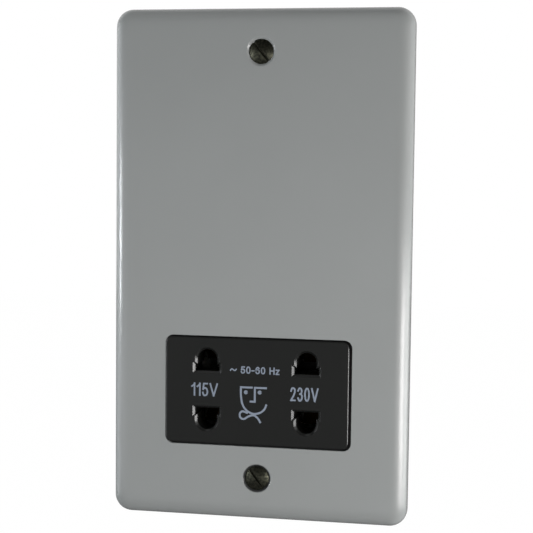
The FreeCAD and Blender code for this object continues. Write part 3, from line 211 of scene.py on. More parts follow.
def per_metre(millimetres):
    """The texture scale whose pattern repeats about every so many millimetres."""
    return 1.0 / (millimetres * MM)


def rgba(shade):
    """A colour as a shader takes it."""
    return (*shade, 1.0)


def scaled(shade, factor):
    """A darker or paler tone of a colour."""
    return tuple(min(1.0, channel * factor) for channel in shade)


def clouded(tree, place, shade, size, detail, darker, paler):
    """A colour that drifts between a darker and a paler tone, in clouds of some millimetres."""
    cloud = add_node(tree, "ShaderNodeTexNoise",
                     {"Vector": place, "Scale": per_metre(size), "Detail": detail})
    tones = add_node(tree, "ShaderNodeMix",
                     {"Factor": cloud.outputs["Fac"], MIX_FIRST: rgba(scaled(shade, darker)),
                      MIX_SECOND: rgba(scaled(shade, paler))}, data_type="RGBA")
    return tones.outputs[MIX_COLOUR]


def grained(tree, place, size, detail, strength, depth, under=None):
    """A fine relief with its size and depth in millimetres: the pattern, and the normal it gives."""
    grain = add_node(tree, "ShaderNodeTexNoise",
                     {"Vector": place, "Scale": per_metre(size), "Detail": detail})
    relief = add_node(tree, "ShaderNodeBump",
                      {"Height": grain.outputs["Fac"], "Strength": strength, "Distance": depth * MM})
    if under is not None:
        feed(tree, relief, {"Normal": under})
    return grain.outputs["Fac"], relief.outputs["Normal"]


def fixing_height():
    """How far the fixing screws stand above and below the middle of the plate."""
    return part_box("fixing_screws")[1].z - bpy.context.scene.socket_sizes.head / 2


# how softly the painted shade ring and the rolled edge begin on the paint, the paint's tone under the
# painted shade, and its gloss outside it
SHADE_RING_FADE = 0.15 * MM
ROLL_FADE = 1.0 * MM
SHADE_RING_TONE = 0.12
PAINT_GLOSS = 0.5


def satin_paint(shade, sizes):
    """Stoved satin paint on pressed steel: an even grey with a faint orange peel and soft highlights."""
    material, tree, place, shader = new_material("stoved_satin_paint")
    grey = clouded(tree, place, shade, size=22.0, detail=2.0, darker=0.97, paler=1.03)
    # painted shade: in the lower dimple, round the screw's head, the paint is darkened and its gloss
    # lowered to stand in for the shade that falls there
    flat = add_node(tree, "ShaderNodeVectorMath", {0: place, 1: (1.0, 0.0, 1.0)}, operation="MULTIPLY")
    away = add_node(tree, "ShaderNodeVectorMath",
                    {0: flat.outputs[0], 1: (0.0, 0.0, -fixing_height())}, operation="DISTANCE")
    unshaded = add_node(tree, "ShaderNodeMapRange",
                     {"Value": away.outputs["Value"], "From Min": sizes.shade_ring - SHADE_RING_FADE,
                      "From Max": sizes.shade_ring + SHADE_RING_FADE, "To Min": SHADE_RING_TONE}).outputs["Result"]
    painted_shade_grey = add_node(tree, "ShaderNodeVectorMath", {0: grey, "Scale": unshaded}, operation="SCALE")
    gloss = add_node(tree, "ShaderNodeMath", {0: unshaded, 1: PAINT_GLOSS}, operation="MULTIPLY")
    # the rolled edge of the pressing runs out softly into the face
    rim = (cad_high.x - sizes.roll_reach, 0.0, cad_high.z - sizes.roll_reach)
    across = add_node(tree, "ShaderNodeVectorMath", {0: place}, operation="ABSOLUTE")
    past = add_node(tree, "ShaderNodeVectorMath", {0: across.outputs[0], 1: rim}, operation="SUBTRACT")
    sides = add_node(tree, "ShaderNodeSeparateXYZ", {"Vector": past.outputs[0]}).outputs
    edge = add_node(tree, "ShaderNodeMath", {0: sides["X"], 1: sides["Z"]}, operation="MAXIMUM")
    ease = add_node(tree, "ShaderNodeMapRange",
                    {"Value": edge.outputs[0], "From Max": ROLL_FADE, "To Max": sizes.roll})
    rolled = add_node(tree, "ShaderNodeBevel", {"Radius": ease.outputs["Result"]}, samples=24)
    # orange peel about 1.6 mm across, with the finer grain of the spray over it
    peel = grained(tree, place, size=1.6, detail=1.0, strength=0.35, depth=0.03,
                   under=rolled.outputs["Normal"])[1]
    spray, skin = grained(tree, place, size=0.4, detail=1.0, strength=0.12, depth=0.02, under=peel)
    satin = add_node(tree, "ShaderNodeMapRange", {"Value": spray, "To Min": 0.17, "To Max": 0.24})
    feed(tree, shader, {"Base Color": painted_shade_grey.outputs[0], "Specular IOR Level": gloss.outputs[0],
                        "Normal": skin, "Roughness": satin.outputs["Result"]})
    return material


def moulding(name, shade, grain, rough, depth=0.012):
    """Moulded plastic: a fine sparked grain that breaks up the gloss, and slight flow clouds."""
    material, tree, place, shader = new_material(name)
    flow = clouded(tree, place, shade, size=9.0, detail=3.0, darker=0.97, paler=1.03)
    # true spark grain is finer than a tenth of a millimetre, so it is drawn coarser to show
    spark, skin = grained(tree, place, size=grain, detail=2.0, strength=0.4, depth=depth)
    sheen = add_node(tree, "ShaderNodeMapRange",
                     {"Value": spark, "To Min": rough - 0.06, "To Max": rough + 0.06})
    feed(tree, shader, {"Base Color": flow, "Normal": skin, "Roughness": sheen.outputs["Result"]})
    return material


FACE_GLOSS = 0.22
EDGE_GLOSS = 0.55


def socket_moulding(shade):
    """Black phenolic moulding: a sparked face that stays dull, with polished slot mouths that glint."""
    material, tree, place, shader = new_material("black_phenolic")
    flow = clouded(tree, place, shade, size=9.0, detail=3.0, darker=0.9, paler=1.1)
    facing = add_node(tree, "ShaderNodeSeparateXYZ",
                      {"Vector": add_node(tree, "ShaderNodeTexCoord").outputs["Normal"]})
    # the face looks along -Y; chamfers and edges turn away from it
    bend = {"Value": facing.outputs["Y"], "From Min": -0.98, "From Max": -0.85}
    turned = add_node(tree, "ShaderNodeMapRange", bend).outputs["Result"]
    gloss = add_node(tree, "ShaderNodeMapRange",
                     {"Value": turned, "To Min": FACE_GLOSS, "To Max": EDGE_GLOSS})
    sheen = add_node(tree, "ShaderNodeMapRange", {"Value": turned, "To Min": 0.40, "To Max": 0.24})
    # moulded edges are never sharp: a quarter of a millimetre of ease catches the light
    eased = add_node(tree, "ShaderNodeBevel", {"Radius": 0.25 * MM})
    # the spark grain is drawn coarser than the true one, to show
    skin = grained(tree, place, size=0.3, detail=2.0, strength=0.4, depth=0.006,
                   under=eased.outputs["Normal"])[1]
    # where the link of the gloss is lost, the whole moulding is as dull as its face
    feed(tree, shader, {"Specular IOR Level": FACE_GLOSS})
    feed(tree, shader, {"Base Color": flow, "Specular IOR Level": gloss.outputs["Result"],
                        "Normal": skin, "Roughness": sheen.outputs["Result"]})
    return material


def plated_metal(name, shade, dull, patch, rough):
    """Plated or bare metal: patches where the skin has dulled, and fine tool marks."""
    material, tree, place, shader = new_material(name)
    cloud = add_node(tree, "ShaderNodeTexNoise",
                     {"Vector": place, "Scale": per_metre(patch), "Detail": 4.0, "Roughness": 0.6})
    bright = add_node(tree, "ShaderNodeMapRange",
                      {"Value": cloud.outputs["Fac"], "From Min": 0.38, "From Max": 0.66},
                      interpolation_type="SMOOTHSTEP").outputs["Result"]
    tones = add_node(tree, "ShaderNodeMix",
                     {"Factor": bright, MIX_FIRST: rgba(dull), MIX_SECOND: rgba(shade)}, data_type="RGBA")
    sheen = add_node(tree, "ShaderNodeMapRange",
                     {"Value": bright, "To Min": rough + 0.14, "To Max": rough})
    # true tool marks are finer, and are drawn a quarter of a millimetre wide to show
    skin = grained(tree, place, size=0.25, detail=1.0, strength=0.2, depth=0.01)[1]
    feed(tree, shader, {"Metallic": 1.0, "Base Color": tones.outputs[MIX_COLOUR],
                        "Roughness": sheen.outputs["Result"], "Normal": skin})
    return material


def banded(name, shade, dark, pitch, turn, metallic, rough):
    """A stack of sheets or turns of wire: a line between each, drawn at its real pitch."""
    material, tree, place, shader = new_material(name)
    lay = add_node(tree, "ShaderNodeMapping", {"Vector": place, "Rotation": turn})
    # at a scale of 1 the bands repeat every tenth of pi, so the scale follows from the pitch
    bands = add_node(tree, "ShaderNodeTexWave",
                     {"Vector": lay.outputs["Vector"], "Scale": per_metre(pitch) * math.pi / 10})
    tones = add_node(tree, "ShaderNodeMix",
                     {"Factor": bands.outputs["Fac"], MIX_FIRST: rgba(dark), MIX_SECOND: rgba(shade)},
                     data_type="RGBA")
    relief = add_node(tree, "ShaderNodeBump",
                      {"Height": bands.outputs["Fac"], "Strength": 0.6, "Distance": pitch * 0.3 * MM})
    feed(tree, shader, {"Metallic": metallic, "Roughness": rough, "Normal": relief.outputs["Normal"],
                        "Base Color": tones.outputs[MIX_COLOUR]})
    return material


def printed_ink(shade):
    """Pad-printed ink: flat and matt, a little thin where the moulding's grain comes through."""
    material, tree, place, shader = new_material("pad_print_ink")
    thin = clouded(tree, place, shade, size=0.35, detail=2.0, darker=0.82, paler=1.08)
    feed(tree, shader, {"Base Color": thin, "Roughness": 0.62})
    return material


# each lead, the colour of its insulation and that colour's value
LEADS = (
    ("lead_common", "black", "#1a1a1a"),
    ("lead_230v", "red", "#b3261e"),
    ("lead_115v", "white", "#e6e6e2"),
    ("lead_switched", "brown", "#6b3f22"),
    ("lead_neutral", "blue", "#2b5fb0"),
    ("earth_lead", "green", "#3a8f3a"),
)
MATERIALS = {}


def make_materials():
    """Make every finish of the socket."""
    tints = bpy.context.scene.socket_colours
    MATERIALS.update(
        paint=satin_paint(tints.paint, bpy.context.scene.socket_sizes),
        black=socket_moulding(tints.insert),
        white=moulding("white_urea", tints.housing, grain=0.5, rough=0.48, depth=0.02),
        red=moulding("red_nylon", to_linear("#a83026"), grain=0.4, rough=0.45),
        tape=moulding("polyester_tape", to_linear("#e0c04a"), grain=1.2, rough=0.3, depth=0.02),
        ink=printed_ink(tints.marks),
        fixing=plated_metal("bronzed_steel", tints.fixing, tints.patina, patch=0.7, rough=0.32),
        zinc=plated_metal("zinc_plated_steel", tints.zinc, scaled(tints.zinc, 0.6), patch=2.5, rough=0.30),
        brass=plated_metal("turned_brass", tints.brass, scaled(tints.brass, 0.65), patch=3.0, rough=0.28),
        bronze=plated_metal("phosphor_bronze", tints.bronze, scaled(tints.bronze, 0.7), patch=3.0,
                            rough=0.26),
        steel=plated_metal("spring_steel", tints.steel, scaled(tints.steel, 0.6), patch=2.0, rough=0.30),
        # half-millimetre lamination sheets lie face to face along the depth
        sheets=banded("varnished_laminations", to_linear("#6a6d70"), to_linear("#3a3c3f"), pitch=0.5,
                      turn=(0.0, 0.0, math.radians(90)), metallic=0.8, rough=0.5),
        # wire of a third of a millimetre, wound round the X axis
        copper=banded("enamelled_copper", to_linear("#a4532a"), to_linear("#5c2a14"), pitch=0.35,
                      turn=(0.0, 0.0, 0.0), metallic=0.9, rough=0.3),
    )
    for _, tint, code in LEADS:
        MATERIALS[tint + "_lead"] = moulding(tint + "_pvc", to_linear(code), grain=0.8, rough=0.35,
                                             depth=0.02)


def finish(name):
    """A finish by its short name; all are made when the first is asked for."""
    if not MATERIALS:
        make_materials()
    return MATERIALS[name]


def put_on(material, *nodes):
    """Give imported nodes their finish, with their shapes left as they are."""
    for name in nodes:
        mesh = frame["nodes"][name].data
        mesh.materials.clear()
        mesh.materials.append(finish(material))


def new_piece(name, mesh, material):
    """A finished piece that rides with the unit and takes one of the script's finishes."""
    piece = bpy.data.objects.new(name, mesh)
    bpy.context.scene.collection.objects.link(piece)
    mesh.materials.clear()
    mesh.materials.append(finish(material))
    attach(piece, UNIT)
    return piece


def mesh_of(item):
    """The finished mesh of an object with its modifiers, as plain data."""
    bpy.context.view_layer.update()
    graph = bpy.context.evaluated_depsgraph_get()
    return bpy.data.meshes.new_from_object(item.evaluated_get(graph), depsgraph=graph)


def smooth(mesh):
    """Shade round forms smooth and keep true edges sharp."""
    mesh.shade_smooth()
    mesh.set_sharp_from_angle(angle=math.radians(35))
    return mesh


def ring_of(form, radius, depth, columns):
    """A ring of points about the Y axis, or one point where the profile closes."""
    if radius < 1e-9:
        return [form.verts.new((0.0, depth, 0.0))]
    turns = [2 * math.pi * j / columns for j in range(columns)]
    return [form.verts.new((radius * math.cos(turn), depth, radius * math.sin(turn))) for turn in turns]


def join_rings(form, first, second):
    """Lay faces between two rings, of which one may be a point."""
    count = max(len(first), len(second))
    for j in range(count):
        after = (j + 1) % count
        corners = [first[j % len(first)], first[after % len(first)],
                   second[after % len(second)], second[j % len(second)]]
        form.faces.new(list(dict.fromkeys(corners)))


def lathe(form, profile, columns):
    """Turn a profile of radius and depth about the Y axis into a skin."""
    rings = [ring_of(form, radius, depth, columns) for radius, depth in profile]
    for first, second in zip(rings, rings[1:]):
        join_rings(form, first, second)


DOME_RINGS = 12
SCREW_COLUMNS = 64
# shares of the thread's pitch: depth of its root, size of its ridge, and the plain run at each end
ROOT_DEPTH = 0.5
RIDGE = 0.4
RUN_IN = 0.5
RUN_OUT = 0.6


def screw_blank(sizes, total):
    """A slotted round-headed screw along +Y without its thread, its head's rim at the origin."""
    dome = (sizes.head ** 2 / 4 + sizes.head_rise ** 2) / (2 * sizes.head_rise)
    reach = math.asin(sizes.head / 2 / dome)
    arc = [reach * n / DOME_RINGS for n in range(DOME_RINGS + 1)]
    profile = [(dome * math.sin(turn), dome - dome * math.cos(turn) - sizes.head_rise) for turn in arc]
    neck = sizes.neck / 2
    root = sizes.thread / 2 - ROOT_DEPTH * sizes.thread_pitch
    profile += [(neck, (sizes.head - sizes.neck) / 2), (neck, sizes.neck_length), (root, sizes.neck_length),
                (root, total - sizes.tip), (root - sizes.tip, total), (0.0, total)]
    form = bmesh.new()
    lathe(form, profile, SCREW_COLUMNS)
    bmesh.ops.recalc_face_normals(form, faces=form.faces)
    blank = bpy.data.objects.new("screw_blank", bpy.data.meshes.new("screw_blank"))
    form.to_mesh(blank.data)
    form.clear()
    turn = Matrix.Translation((0.0, -sizes.head_rise, 0.0)) @ Matrix.Rotation(-sizes.slot_turn, 4, "Y")
    shape = Matrix.Diagonal((sizes.head * 1.2, 2 * sizes.slot_depth, sizes.slot_width, 1.0))
    bmesh.ops.create_cube(form, size=1.0, matrix=turn @ shape)
    blade = bpy.data.objects.new("slot_blade", bpy.data.meshes.new("slot_blade"))
    form.to_mesh(blade.data)
    form.free()
    for item in (blank, blade):
        bpy.context.scene.collection.objects.link(item)
    slot = blank.modifiers.new("slot", "BOOLEAN")
    slot.object = blade
    slot.solver = "EXACT"
    cut = mesh_of(blank)
    blank.modifiers.remove(slot)
    bpy.data.objects.remove(blade)
    blank.data = smooth(cut)
    return blank


def node_inputs(tree, **kinds):
    """Give a node tree its geometry sockets and its named inputs, and return these."""
    tree.interface.new_socket("Geometry", in_out="INPUT", socket_type="NodeSocketGeometry")
    tree.interface.new_socket("Geometry", in_out="OUTPUT", socket_type="NodeSocketGeometry")
    for label, kind in kinds.items():
        tree.interface.new_socket(label, in_out="INPUT", socket_type="NodeSocket" + kind)
    return add_node(tree, "NodeGroupInput").outputs


def end_tree(tree, geometry, material):
    """End a node tree: its instances become real and get their finish."""
    real = add_node(tree, "GeometryNodeRealizeInstances", {"Geometry": geometry})
    done = add_node(tree, "GeometryNodeSetMaterial", {"Geometry": real.outputs[0], "Material": material})
    add_node(tree, "NodeGroupOutput", {"Geometry": done.outputs[0]})
    return tree


def grown(name, mesh, tree, **values):
    """Run a node tree over a mesh and return the result as a plain mesh."""
    item = bpy.data.objects.new(name, mesh)
    bpy.context.scene.collection.objects.link(item)
    modifier = item.modifiers.new("form", "NODES")
    modifier.node_group = tree
    for socket in tree.interface.items_tree:
        if socket.name in values:
            modifier[socket.identifier] = values[socket.name]
    result = mesh_of(item)
    item.modifiers.remove(modifier)
    bpy.data.objects.remove(item)
    return result


def screw_tree():
    """Threaded screws: a blank and a helical ridge, set on each point."""
    tree = bpy.data.node_groups.new("threaded_screws", "GeometryNodeTree")
    given = node_inputs(tree, Blank="Object", Thread="Float", Pitch="Float", Start="Float", Length="Float",
                        Finish="Material")
    ridge = add_node(tree, "ShaderNodeMath", {0: given["Pitch"], 1: RIDGE}, operation="MULTIPLY").outputs[0]
    radius = add_node(tree, "ShaderNodeMath", {0: given["Thread"], 1: 0.5}, operation="MULTIPLY").outputs[0]
    around = add_node(tree, "ShaderNodeMath", {0: radius, 1: ridge}, operation="SUBTRACT").outputs[0]
    turns = add_node(tree, "ShaderNodeMath", {0: given["Length"], 1: given["Pitch"]}, operation="DIVIDE")
    helix = add_node(tree, "GeometryNodeCurveSpiral",
                     {"Resolution": 24, "Rotations": turns.outputs[0], "Start Radius": around,
                      "End Radius": around, "Height": given["Length"]})
    level = add_node(tree, "GeometryNodeSetCurveNormal", {"Curve": helix.outputs[0]}, mode="Z_UP")
    tooth = add_node(tree, "GeometryNodeCurvePrimitiveCircle", {"Resolution": 3, "Radius": ridge})
    wound = add_node(tree, "GeometryNodeCurveToMesh",
                     {"Curve": level.outputs[0], "Profile Curve": tooth.outputs[0], "Fill Caps": True})
    start = add_node(tree, "ShaderNodeCombineXYZ", {"Y": given["Start"]})
    laid = add_node(tree, "GeometryNodeTransform",
                    {"Geometry": wound.outputs[0], "Translation": start.outputs[0],
                     "Rotation": (-math.pi / 2, 0.0, 0.0)})
    blank = add_node(tree, "GeometryNodeObjectInfo", {"Object": given["Blank"]})
    screw = add_node(tree, "GeometryNodeJoinGeometry", {"Geometry": laid.outputs[0]})
    tree.links.new(blank.outputs["Geometry"], screw.inputs["Geometry"])
    placed = add_node(tree, "GeometryNodeInstanceOnPoints",
                      {"Points": given["Geometry"], "Instance": screw.outputs[0]})
    return end_tree(tree, placed.outputs[0], given["Finish"])


class SOCKET_OT_painted_plate(bpy.types.Operator):
    """Paint the pressed face plate"""
    bl_idname = "socket.painted_plate"
    bl_label = "Painted plate"

    def execute(self, context):
        put_on("paint", "face_plate")
        return {"FINISHED"}


class SOCKET_OT_mouldings(bpy.types.Operator):
    """Finish the socket moulding, the housing and the other moulded pieces"""
    bl_idname = "socket.mouldings"
    bl_label = "Mouldings"

    def execute(self, context):
        put_on("black", "front_moulding", "switch_body", "plug_actuator")
        put_on("white", "rear_housing", "contact_carrier", "coil_bobbin", "terminal_block")
        put_on("red", "switch_plunger")
        return {"FINISHED"}


class SOCKET_OT_metalwork(bpy.types.Operator):
    """Finish the contacts, terminals, studs and transformer"""
    bl_idname = "socket.metalwork"
    bl_label = "Metalwork"

    def execute(self, context):
        put_on("bronze", "contact_115v", "contact_230v", "contact_common", "contact_rivets")
        put_on("brass", "switch_tabs", "earth_tag", "neutral_terminal", "live_terminal", "earth_terminal",
               "terminal_screws")
        put_on("zinc", "plate_studs", "stud_nuts", "carrier_screws", "core_bolts", "housing_screws")
        put_on("steel", "thermal_fuse")
        put_on("sheets", "core_e_stack", "core_i_stack")
        put_on("copper", "primary_winding", "secondary_winding")
        put_on("tape", "winding_tapes")
        return {"FINISHED"}


class SOCKET_OT_fixing_screws(bpy.types.Operator):
    """Make the two slotted fixing screws with their threads"""
    bl_idname = "socket.fixing_screws"
    bl_label = "Fixing screws"

    def execute(self, context):
        sizes = context.scene.socket_sizes
        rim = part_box("face_plate")[0].y + sizes.head_sink
        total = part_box("fixing_screws")[1].y - rim
        up = fixing_height()
        blank = screw_blank(sizes, total)
        points = bpy.data.meshes.new("fixing_places")
        points.from_pydata([(0.0, rim, up), (0.0, rim, -up)], [], [])
        start = sizes.neck_length + RUN_IN * sizes.thread_pitch
        mesh = grown("fixing_screws_threaded", points, screw_tree(), Blank=blank, Thread=sizes.thread,
                     Pitch=sizes.thread_pitch, Start=start,
                     Length=total - start - RUN_OUT * sizes.thread_pitch, Finish=finish("fixing"))
        bpy.data.objects.remove(blank)
        piece = new_piece("fixing_screws_threaded", mesh, "fixing")
        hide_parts("fixing_screws")
        return {"FINISHED"}


def spring_tree():
    """A coil spring wound round the Y axis from a place on it."""
    tree = bpy.data.node_groups.new("wound_spring", "GeometryNodeTree")
    given = node_inputs(tree, Radius="Float", Wire="Float", Turns="Float", Height="Float", Place="Vector",
                        Finish="Material")
    helix = add_node(tree, "GeometryNodeCurveSpiral",
                     {"Resolution": 32, "Rotations": given["Turns"], "Start Radius": given["Radius"],
                      "End Radius": given["Radius"], "Height": given["Height"]})
    section = add_node(tree, "GeometryNodeCurvePrimitiveCircle",
                       {"Resolution": 12, "Radius": given["Wire"]})
    wound = add_node(tree, "GeometryNodeCurveToMesh",
                     {"Curve": helix.outputs[0], "Profile Curve": section.outputs[0], "Fill Caps": True})
    laid = add_node(tree, "GeometryNodeTransform",
                    {"Geometry": wound.outputs[0], "Translation": given["Place"],
                     "Rotation": (-math.pi / 2, 0.0, 0.0)})
    return end_tree(tree, laid.outputs[0], given["Finish"])


class SOCKET_OT_return_spring(bpy.types.Operator):
    """Wind the return spring to the size of the imported one; the real spring closes up as a plug goes in
    """
    bl_idname = "socket.return_spring"
    bl_label = "Return spring"

    def execute(self, context):
        sizes = context.scene.socket_sizes
        low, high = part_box("return_spring")
        wire = sizes.spring_wire / 2
        place = ((low.x + high.x) / 2, low.y + wire, (low.z + high.z) / 2)
        mesh = grown("return_spring_wound", bpy.data.meshes.new("spring_place"), spring_tree(),
                     Radius=(high.x - low.x) / 2 - wire, Wire=wire, Turns=sizes.spring_turns,
                     Height=high.y - low.y - 2 * wire, Place=place, Finish=finish("steel"))
        piece = new_piece("return_spring_wound", smooth(mesh), "steel")
        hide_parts("return_spring")
        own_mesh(piece)
        return {"FINISHED"}


class SOCKET_OT_leads(bpy.types.Operator):
    """Colour the insulated leads"""
    bl_idname = "socket.leads"
    bl_label = "Leads"

    def execute(self, context):
        for node, tint, _ in LEADS:
            put_on(tint + "_lead", node)
        return {"FINISHED"}


def stroke_tree():
    """Inked strokes: each chain of edges becomes a smooth flat ribbon."""
    tree = bpy.data.node_groups.new("inked_strokes", "GeometryNodeTree")
    given = node_inputs(tree, Stroke="Float", Ink="Float", Finish="Material")
    chain = add_node(tree, "GeometryNodeMeshToCurve", {"Mesh": given["Geometry"]})
    bent = add_node(tree, "GeometryNodeCurveSplineType", {"Curve": chain.outputs[0]},
                    spline_type="CATMULL_ROM")
    fine = add_node(tree, "GeometryNodeSetSplineResolution", {"Geometry": bent.outputs[0], "Resolution": 6})
    level = add_node(tree, "GeometryNodeSetCurveNormal", {"Curve": fine.outputs[0]}, mode="Z_UP")
    nib = add_node(tree, "GeometryNodeCurvePrimitiveQuadrilateral",
                   {"Width": given["Stroke"], "Height": given["Ink"]})
    ribbon = add_node(tree, "GeometryNodeCurveToMesh",
                      {"Curve": level.outputs[0], "Profile Curve": nib.outputs[0], "Fill Caps": True})
    return end_tree(tree, ribbon.outputs[0], given["Finish"])


# upright figures and letters: width over height, then strokes as x,y pairs in hundredths
GLYPHS = {
    "0": (0.5, "66,97 50,100 34,97 12,80 4,50 12,20 34,3 50,0 66,3",
          "34,3 50,0 66,3 88,20 96,50 88,80 66,97 50,100 34,97"),
    "1": (0.28, "0,74 60,86 90,100", "90,100 90,0"),
    "2": (0.5, "4,74 20,94 50,100 84,91 90,70 62,38 4,0", "4,0 96,0"),
    "3": (0.5, "6,78 22,95 52,100 84,88 82,62 46,53", "46,53 84,46 94,22 68,2 32,0 6,20"),
    "5": (0.5, "90,100 22,100", "22,100 10,52", "10,52 38,63 74,58 94,34 80,8 46,0 18,5 4,24"),
    "6": (0.5, "88,84 66,99 38,97 12,78 4,46 10,16 36,1 64,1 90,18 92,44 66,62 34,58 10,40"),
    "V": (0.68, "0,100 50,0", "50,0 100,100"),
    "H": (0.6, "4,0 4,100", "96,0 96,100", "4,52 96,52"),
    "z": (0.42, "4,68 96,68", "96,68 4,0", "4,0 96,0"),
    "-": (0.3, "0,42 100,42"),
    "~": (0.8, "0,38 14,56 30,60 50,48 70,36 86,40 100,58"),
    " ": (0.2,),
}


# the gap between letters over their height, and how far strokes run on at corners over half their width
LETTER_GAP = 0.07
CORNER_REACH = 0.9
DOT_POINTS = 10


def squared(chain, reach):
    """A stroke drawn on at both ends, so that corners close."""
    points = [Vector(point) for point in chain]
    first = points[0] + (points[0] - points[1]).normalized() * reach
    last = points[-1] + (points[-1] - points[-2]).normalized() * reach
    return [first, *points[1:-1], last]


def dotted(x, y, radius):
    """A stroke that closes on itself and fills a round dot twice as wide."""
    turns = [2 * math.pi * n / DOT_POINTS for n in range(DOT_POINTS + 1)]
    return [(x + radius * math.cos(turn), y + radius * math.sin(turn)) for turn in turns]


def lettered(words, left, right, low, high, stroke):
    """Strokes of a line of figures that fill a box."""
    gap = LETTER_GAP * (high - low) + stroke
    room = right - left - stroke - gap * (len(words) - 1)
    unit = room / sum(GLYPHS[letter][0] for letter in words)
    base = low + stroke / 2
    rise = high - low - stroke
    start = left + stroke / 2
    placed = []
    for letter in words:
        width, *strokes = GLYPHS[letter]
        for line in strokes:
            pairs = [pair.split(",") for pair in line.split()]
            chain = [(start + int(x) / 100 * width * unit, base + int(y) / 100 * rise) for x, y in pairs]
            placed.append(squared(chain, stroke / 2 * CORNER_REACH))
        start += width * unit + gap
    return placed


# each stroke lies two microns over the last, so that crossings don't share a face
STROKE_STEP = 0.002 * MM


def stroke_mesh(name, strokes):
    """Chains of edges in the XY plane, ready to be inked."""
    points = []
    edges = []
    for level, chain in enumerate(strokes):
        edges += [(len(points) + n, len(points) + n + 1) for n in range(len(chain) - 1)]
        points += [(x, y, level * STROKE_STEP) for x, y in chain]
    mesh = bpy.data.meshes.new(name)
    mesh.from_pydata(points, edges, [])
    return mesh


def inked(name, strokes, tree, width, ink, face):
    """Ink strokes on the moulding's front face, sunk a third of their thickness."""
    mesh = grown(name, stroke_mesh(name, strokes), tree, Stroke=width, Ink=ink, Finish=finish("ink"))
    upright = Matrix.Translation((0.0, face - ink / 6, 0.0)) @ Matrix.Rotation(math.radians(90), 4, "X")
    mesh.transform(upright)
    mesh.shade_flat()
    new_piece(name, mesh, "ink")


# each line of figures in millimetres: its stroke's width, then its left, right, lower and upper edge
MARKS = (
    ("mark_115v", "115V", 0.47, -19.27, -11.42, -37.24, -33.37),
    ("mark_230v", "230V", 0.47, 9.44, 17.58, -37.54, -33.57),
    ("mark_heading", "~ 50-60 Hz", 0.37, -8.0, 6.4, -30.3, -28.2),
)
# the usual shaver sign, in millimetres: brows, cheek, nose and a looped cord, then the eyes
SYMBOL = (
    ((-1.6, -34.2), (-4.75, -34.2)),
    ((-4.75, -34.2), (-4.7, -36.7), (-4.2, -39.2), (-2.9, -40.9), (-1.05, -41.7), (0.9, -41.3),
     (2.15, -40.2), (2.6, -39.1)),
    ((-0.7, -34.2), (-0.7, -38.2)),
    ((-0.7, -38.2), (-1.9, -38.2)),
    ((-0.7, -34.2), (2.5, -34.2)),
    ((-2.9, -41.5), (-4.2, -41.1), (-5.0, -41.8), (-4.8, -42.9), (-3.8, -43.3), (-2.5, -42.5),
     (-1.1, -42.1), (0.1, -42.8), (0.9, -44.0)),
)
EYES = ((-3.3, -35.6), (0.7, -35.5))
EYE_SHARE = 0.52


class SOCKET_OT_printed_marks(bpy.types.Operator):
    """Print the voltage marks, the heading and the shaver symbol on the moulding"""
    bl_idname = "socket.printed_marks"
    bl_label = "Printed marks"

    def execute(self, context):
        sizes = context.scene.socket_sizes
        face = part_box("front_moulding")[0].y
        tree = stroke_tree()
        for name, words, stroke, left, right, low, high in MARKS:
            strokes = lettered(words, left * MM, right * MM, low * MM, high * MM, stroke * MM)
            inked(name, strokes, tree, stroke * MM, sizes.ink, face)
        symbol = [squared([(x * MM, z * MM) for x, z in chain], sizes.stroke / 2) for chain in SYMBOL]
        symbol += [dotted(x * MM, z * MM, sizes.stroke * EYE_SHARE) for x, z in EYES]
        inked("mark_symbol", symbol, tree, sizes.stroke, sizes.ink, face)
        return {"FINISHED"}


NEUTRAL = (1.0, 1.0, 1.0)
COOL = (0.94, 0.965, 1.0)
WARM = (1.0, 0.975, 0.97)
# each lamp's place and target in metres, its width and height, its power in watts and its tint
LAMPS = (
    ("key_low_right", (0.326, -0.200, -0.090), (0.04, 0.0, -0.05), (0.16, 0.113), 0.84, WARM),
    ("side_right", (0.385, 0.012, -0.090), (0.04, 0.0, -0.04), (0.40, 0.13), 0.97, NEUTRAL),
    ("panel_right", (0.60, -0.10, 0.02), (0.04, 0.0, 0.0), (0.5, 0.5), 0.62, NEUTRAL),
    ("panel_low_right", (0.36, -0.51, -0.12), (0.04, 0.0, -0.03), (0.35, 0.20), 0.49, WARM),
    ("panel_left", (-0.60, -0.05, 0.0), (-0.04, 0.0, 0.0), (0.5, 0.5), 1.45, COOL),
    ("side_left", (-0.405, -0.145, -0.012), (-0.04, 0.0, -0.005), (0.013, 0.085), 0.61, COOL),
    ("panel_front_left", (-0.586, -0.585, -0.08), (-0.04, 0.0, 0.0), (0.52, 0.34), 0.67, COOL),
    ("panel_front", (-0.20, -1.0, -0.0425), (0.0, 0.0, 0.0), (0.40, 0.255), 0.21, NEUTRAL),
    ("strip_low", (0.0, -0.70, -0.29), (0.0, 0.0, -0.06), (0.50, 0.10), 0.045, NEUTRAL),
    ("panel_top", (-0.25, -0.15, 0.60), (0.0, 0.0, 0.06), (0.3, 0.3), 0.10, NEUTRAL),
)


def softbox(name, place, target, size, watts, tint):
    """A rectangular lamp, turned to its target and hidden from the camera."""
    lamp = bpy.data.lights.new(name, "AREA")
    lamp.shape = "RECTANGLE"
    lamp.size, lamp.size_y = size
    lamp.energy = watts
    lamp.color = tint
    item = bpy.data.objects.new(name, lamp)
    bpy.context.scene.collection.objects.link(item)
    item.location = place
    item.rotation_euler = (Vector(target) - Vector(place)).to_track_quat("-Z", "Y").to_euler()
    item.visible_camera = False


def shown_white(tree, rays, reflected):
    """How much of a white backdrop shows: all to the camera, and a share in reflections."""
    gloss = add_node(tree, "ShaderNodeMath", {0: rays["Is Glossy Ray"], 1: reflected}, operation="MULTIPLY")
    seen = add_node(tree, "ShaderNodeMath", {0: rays["Is Camera Ray"], 1: gloss.outputs[0]},
                    operation="MAXIMUM")
    through = add_node(tree, "ShaderNodeMath", {0: seen.outputs[0], 1: rays["Is Transmission Ray"]},
                       operation="MAXIMUM")
    return through.outputs[0]


FLOOR_HALF = 3.0
FLOOR_DROP = 0.25


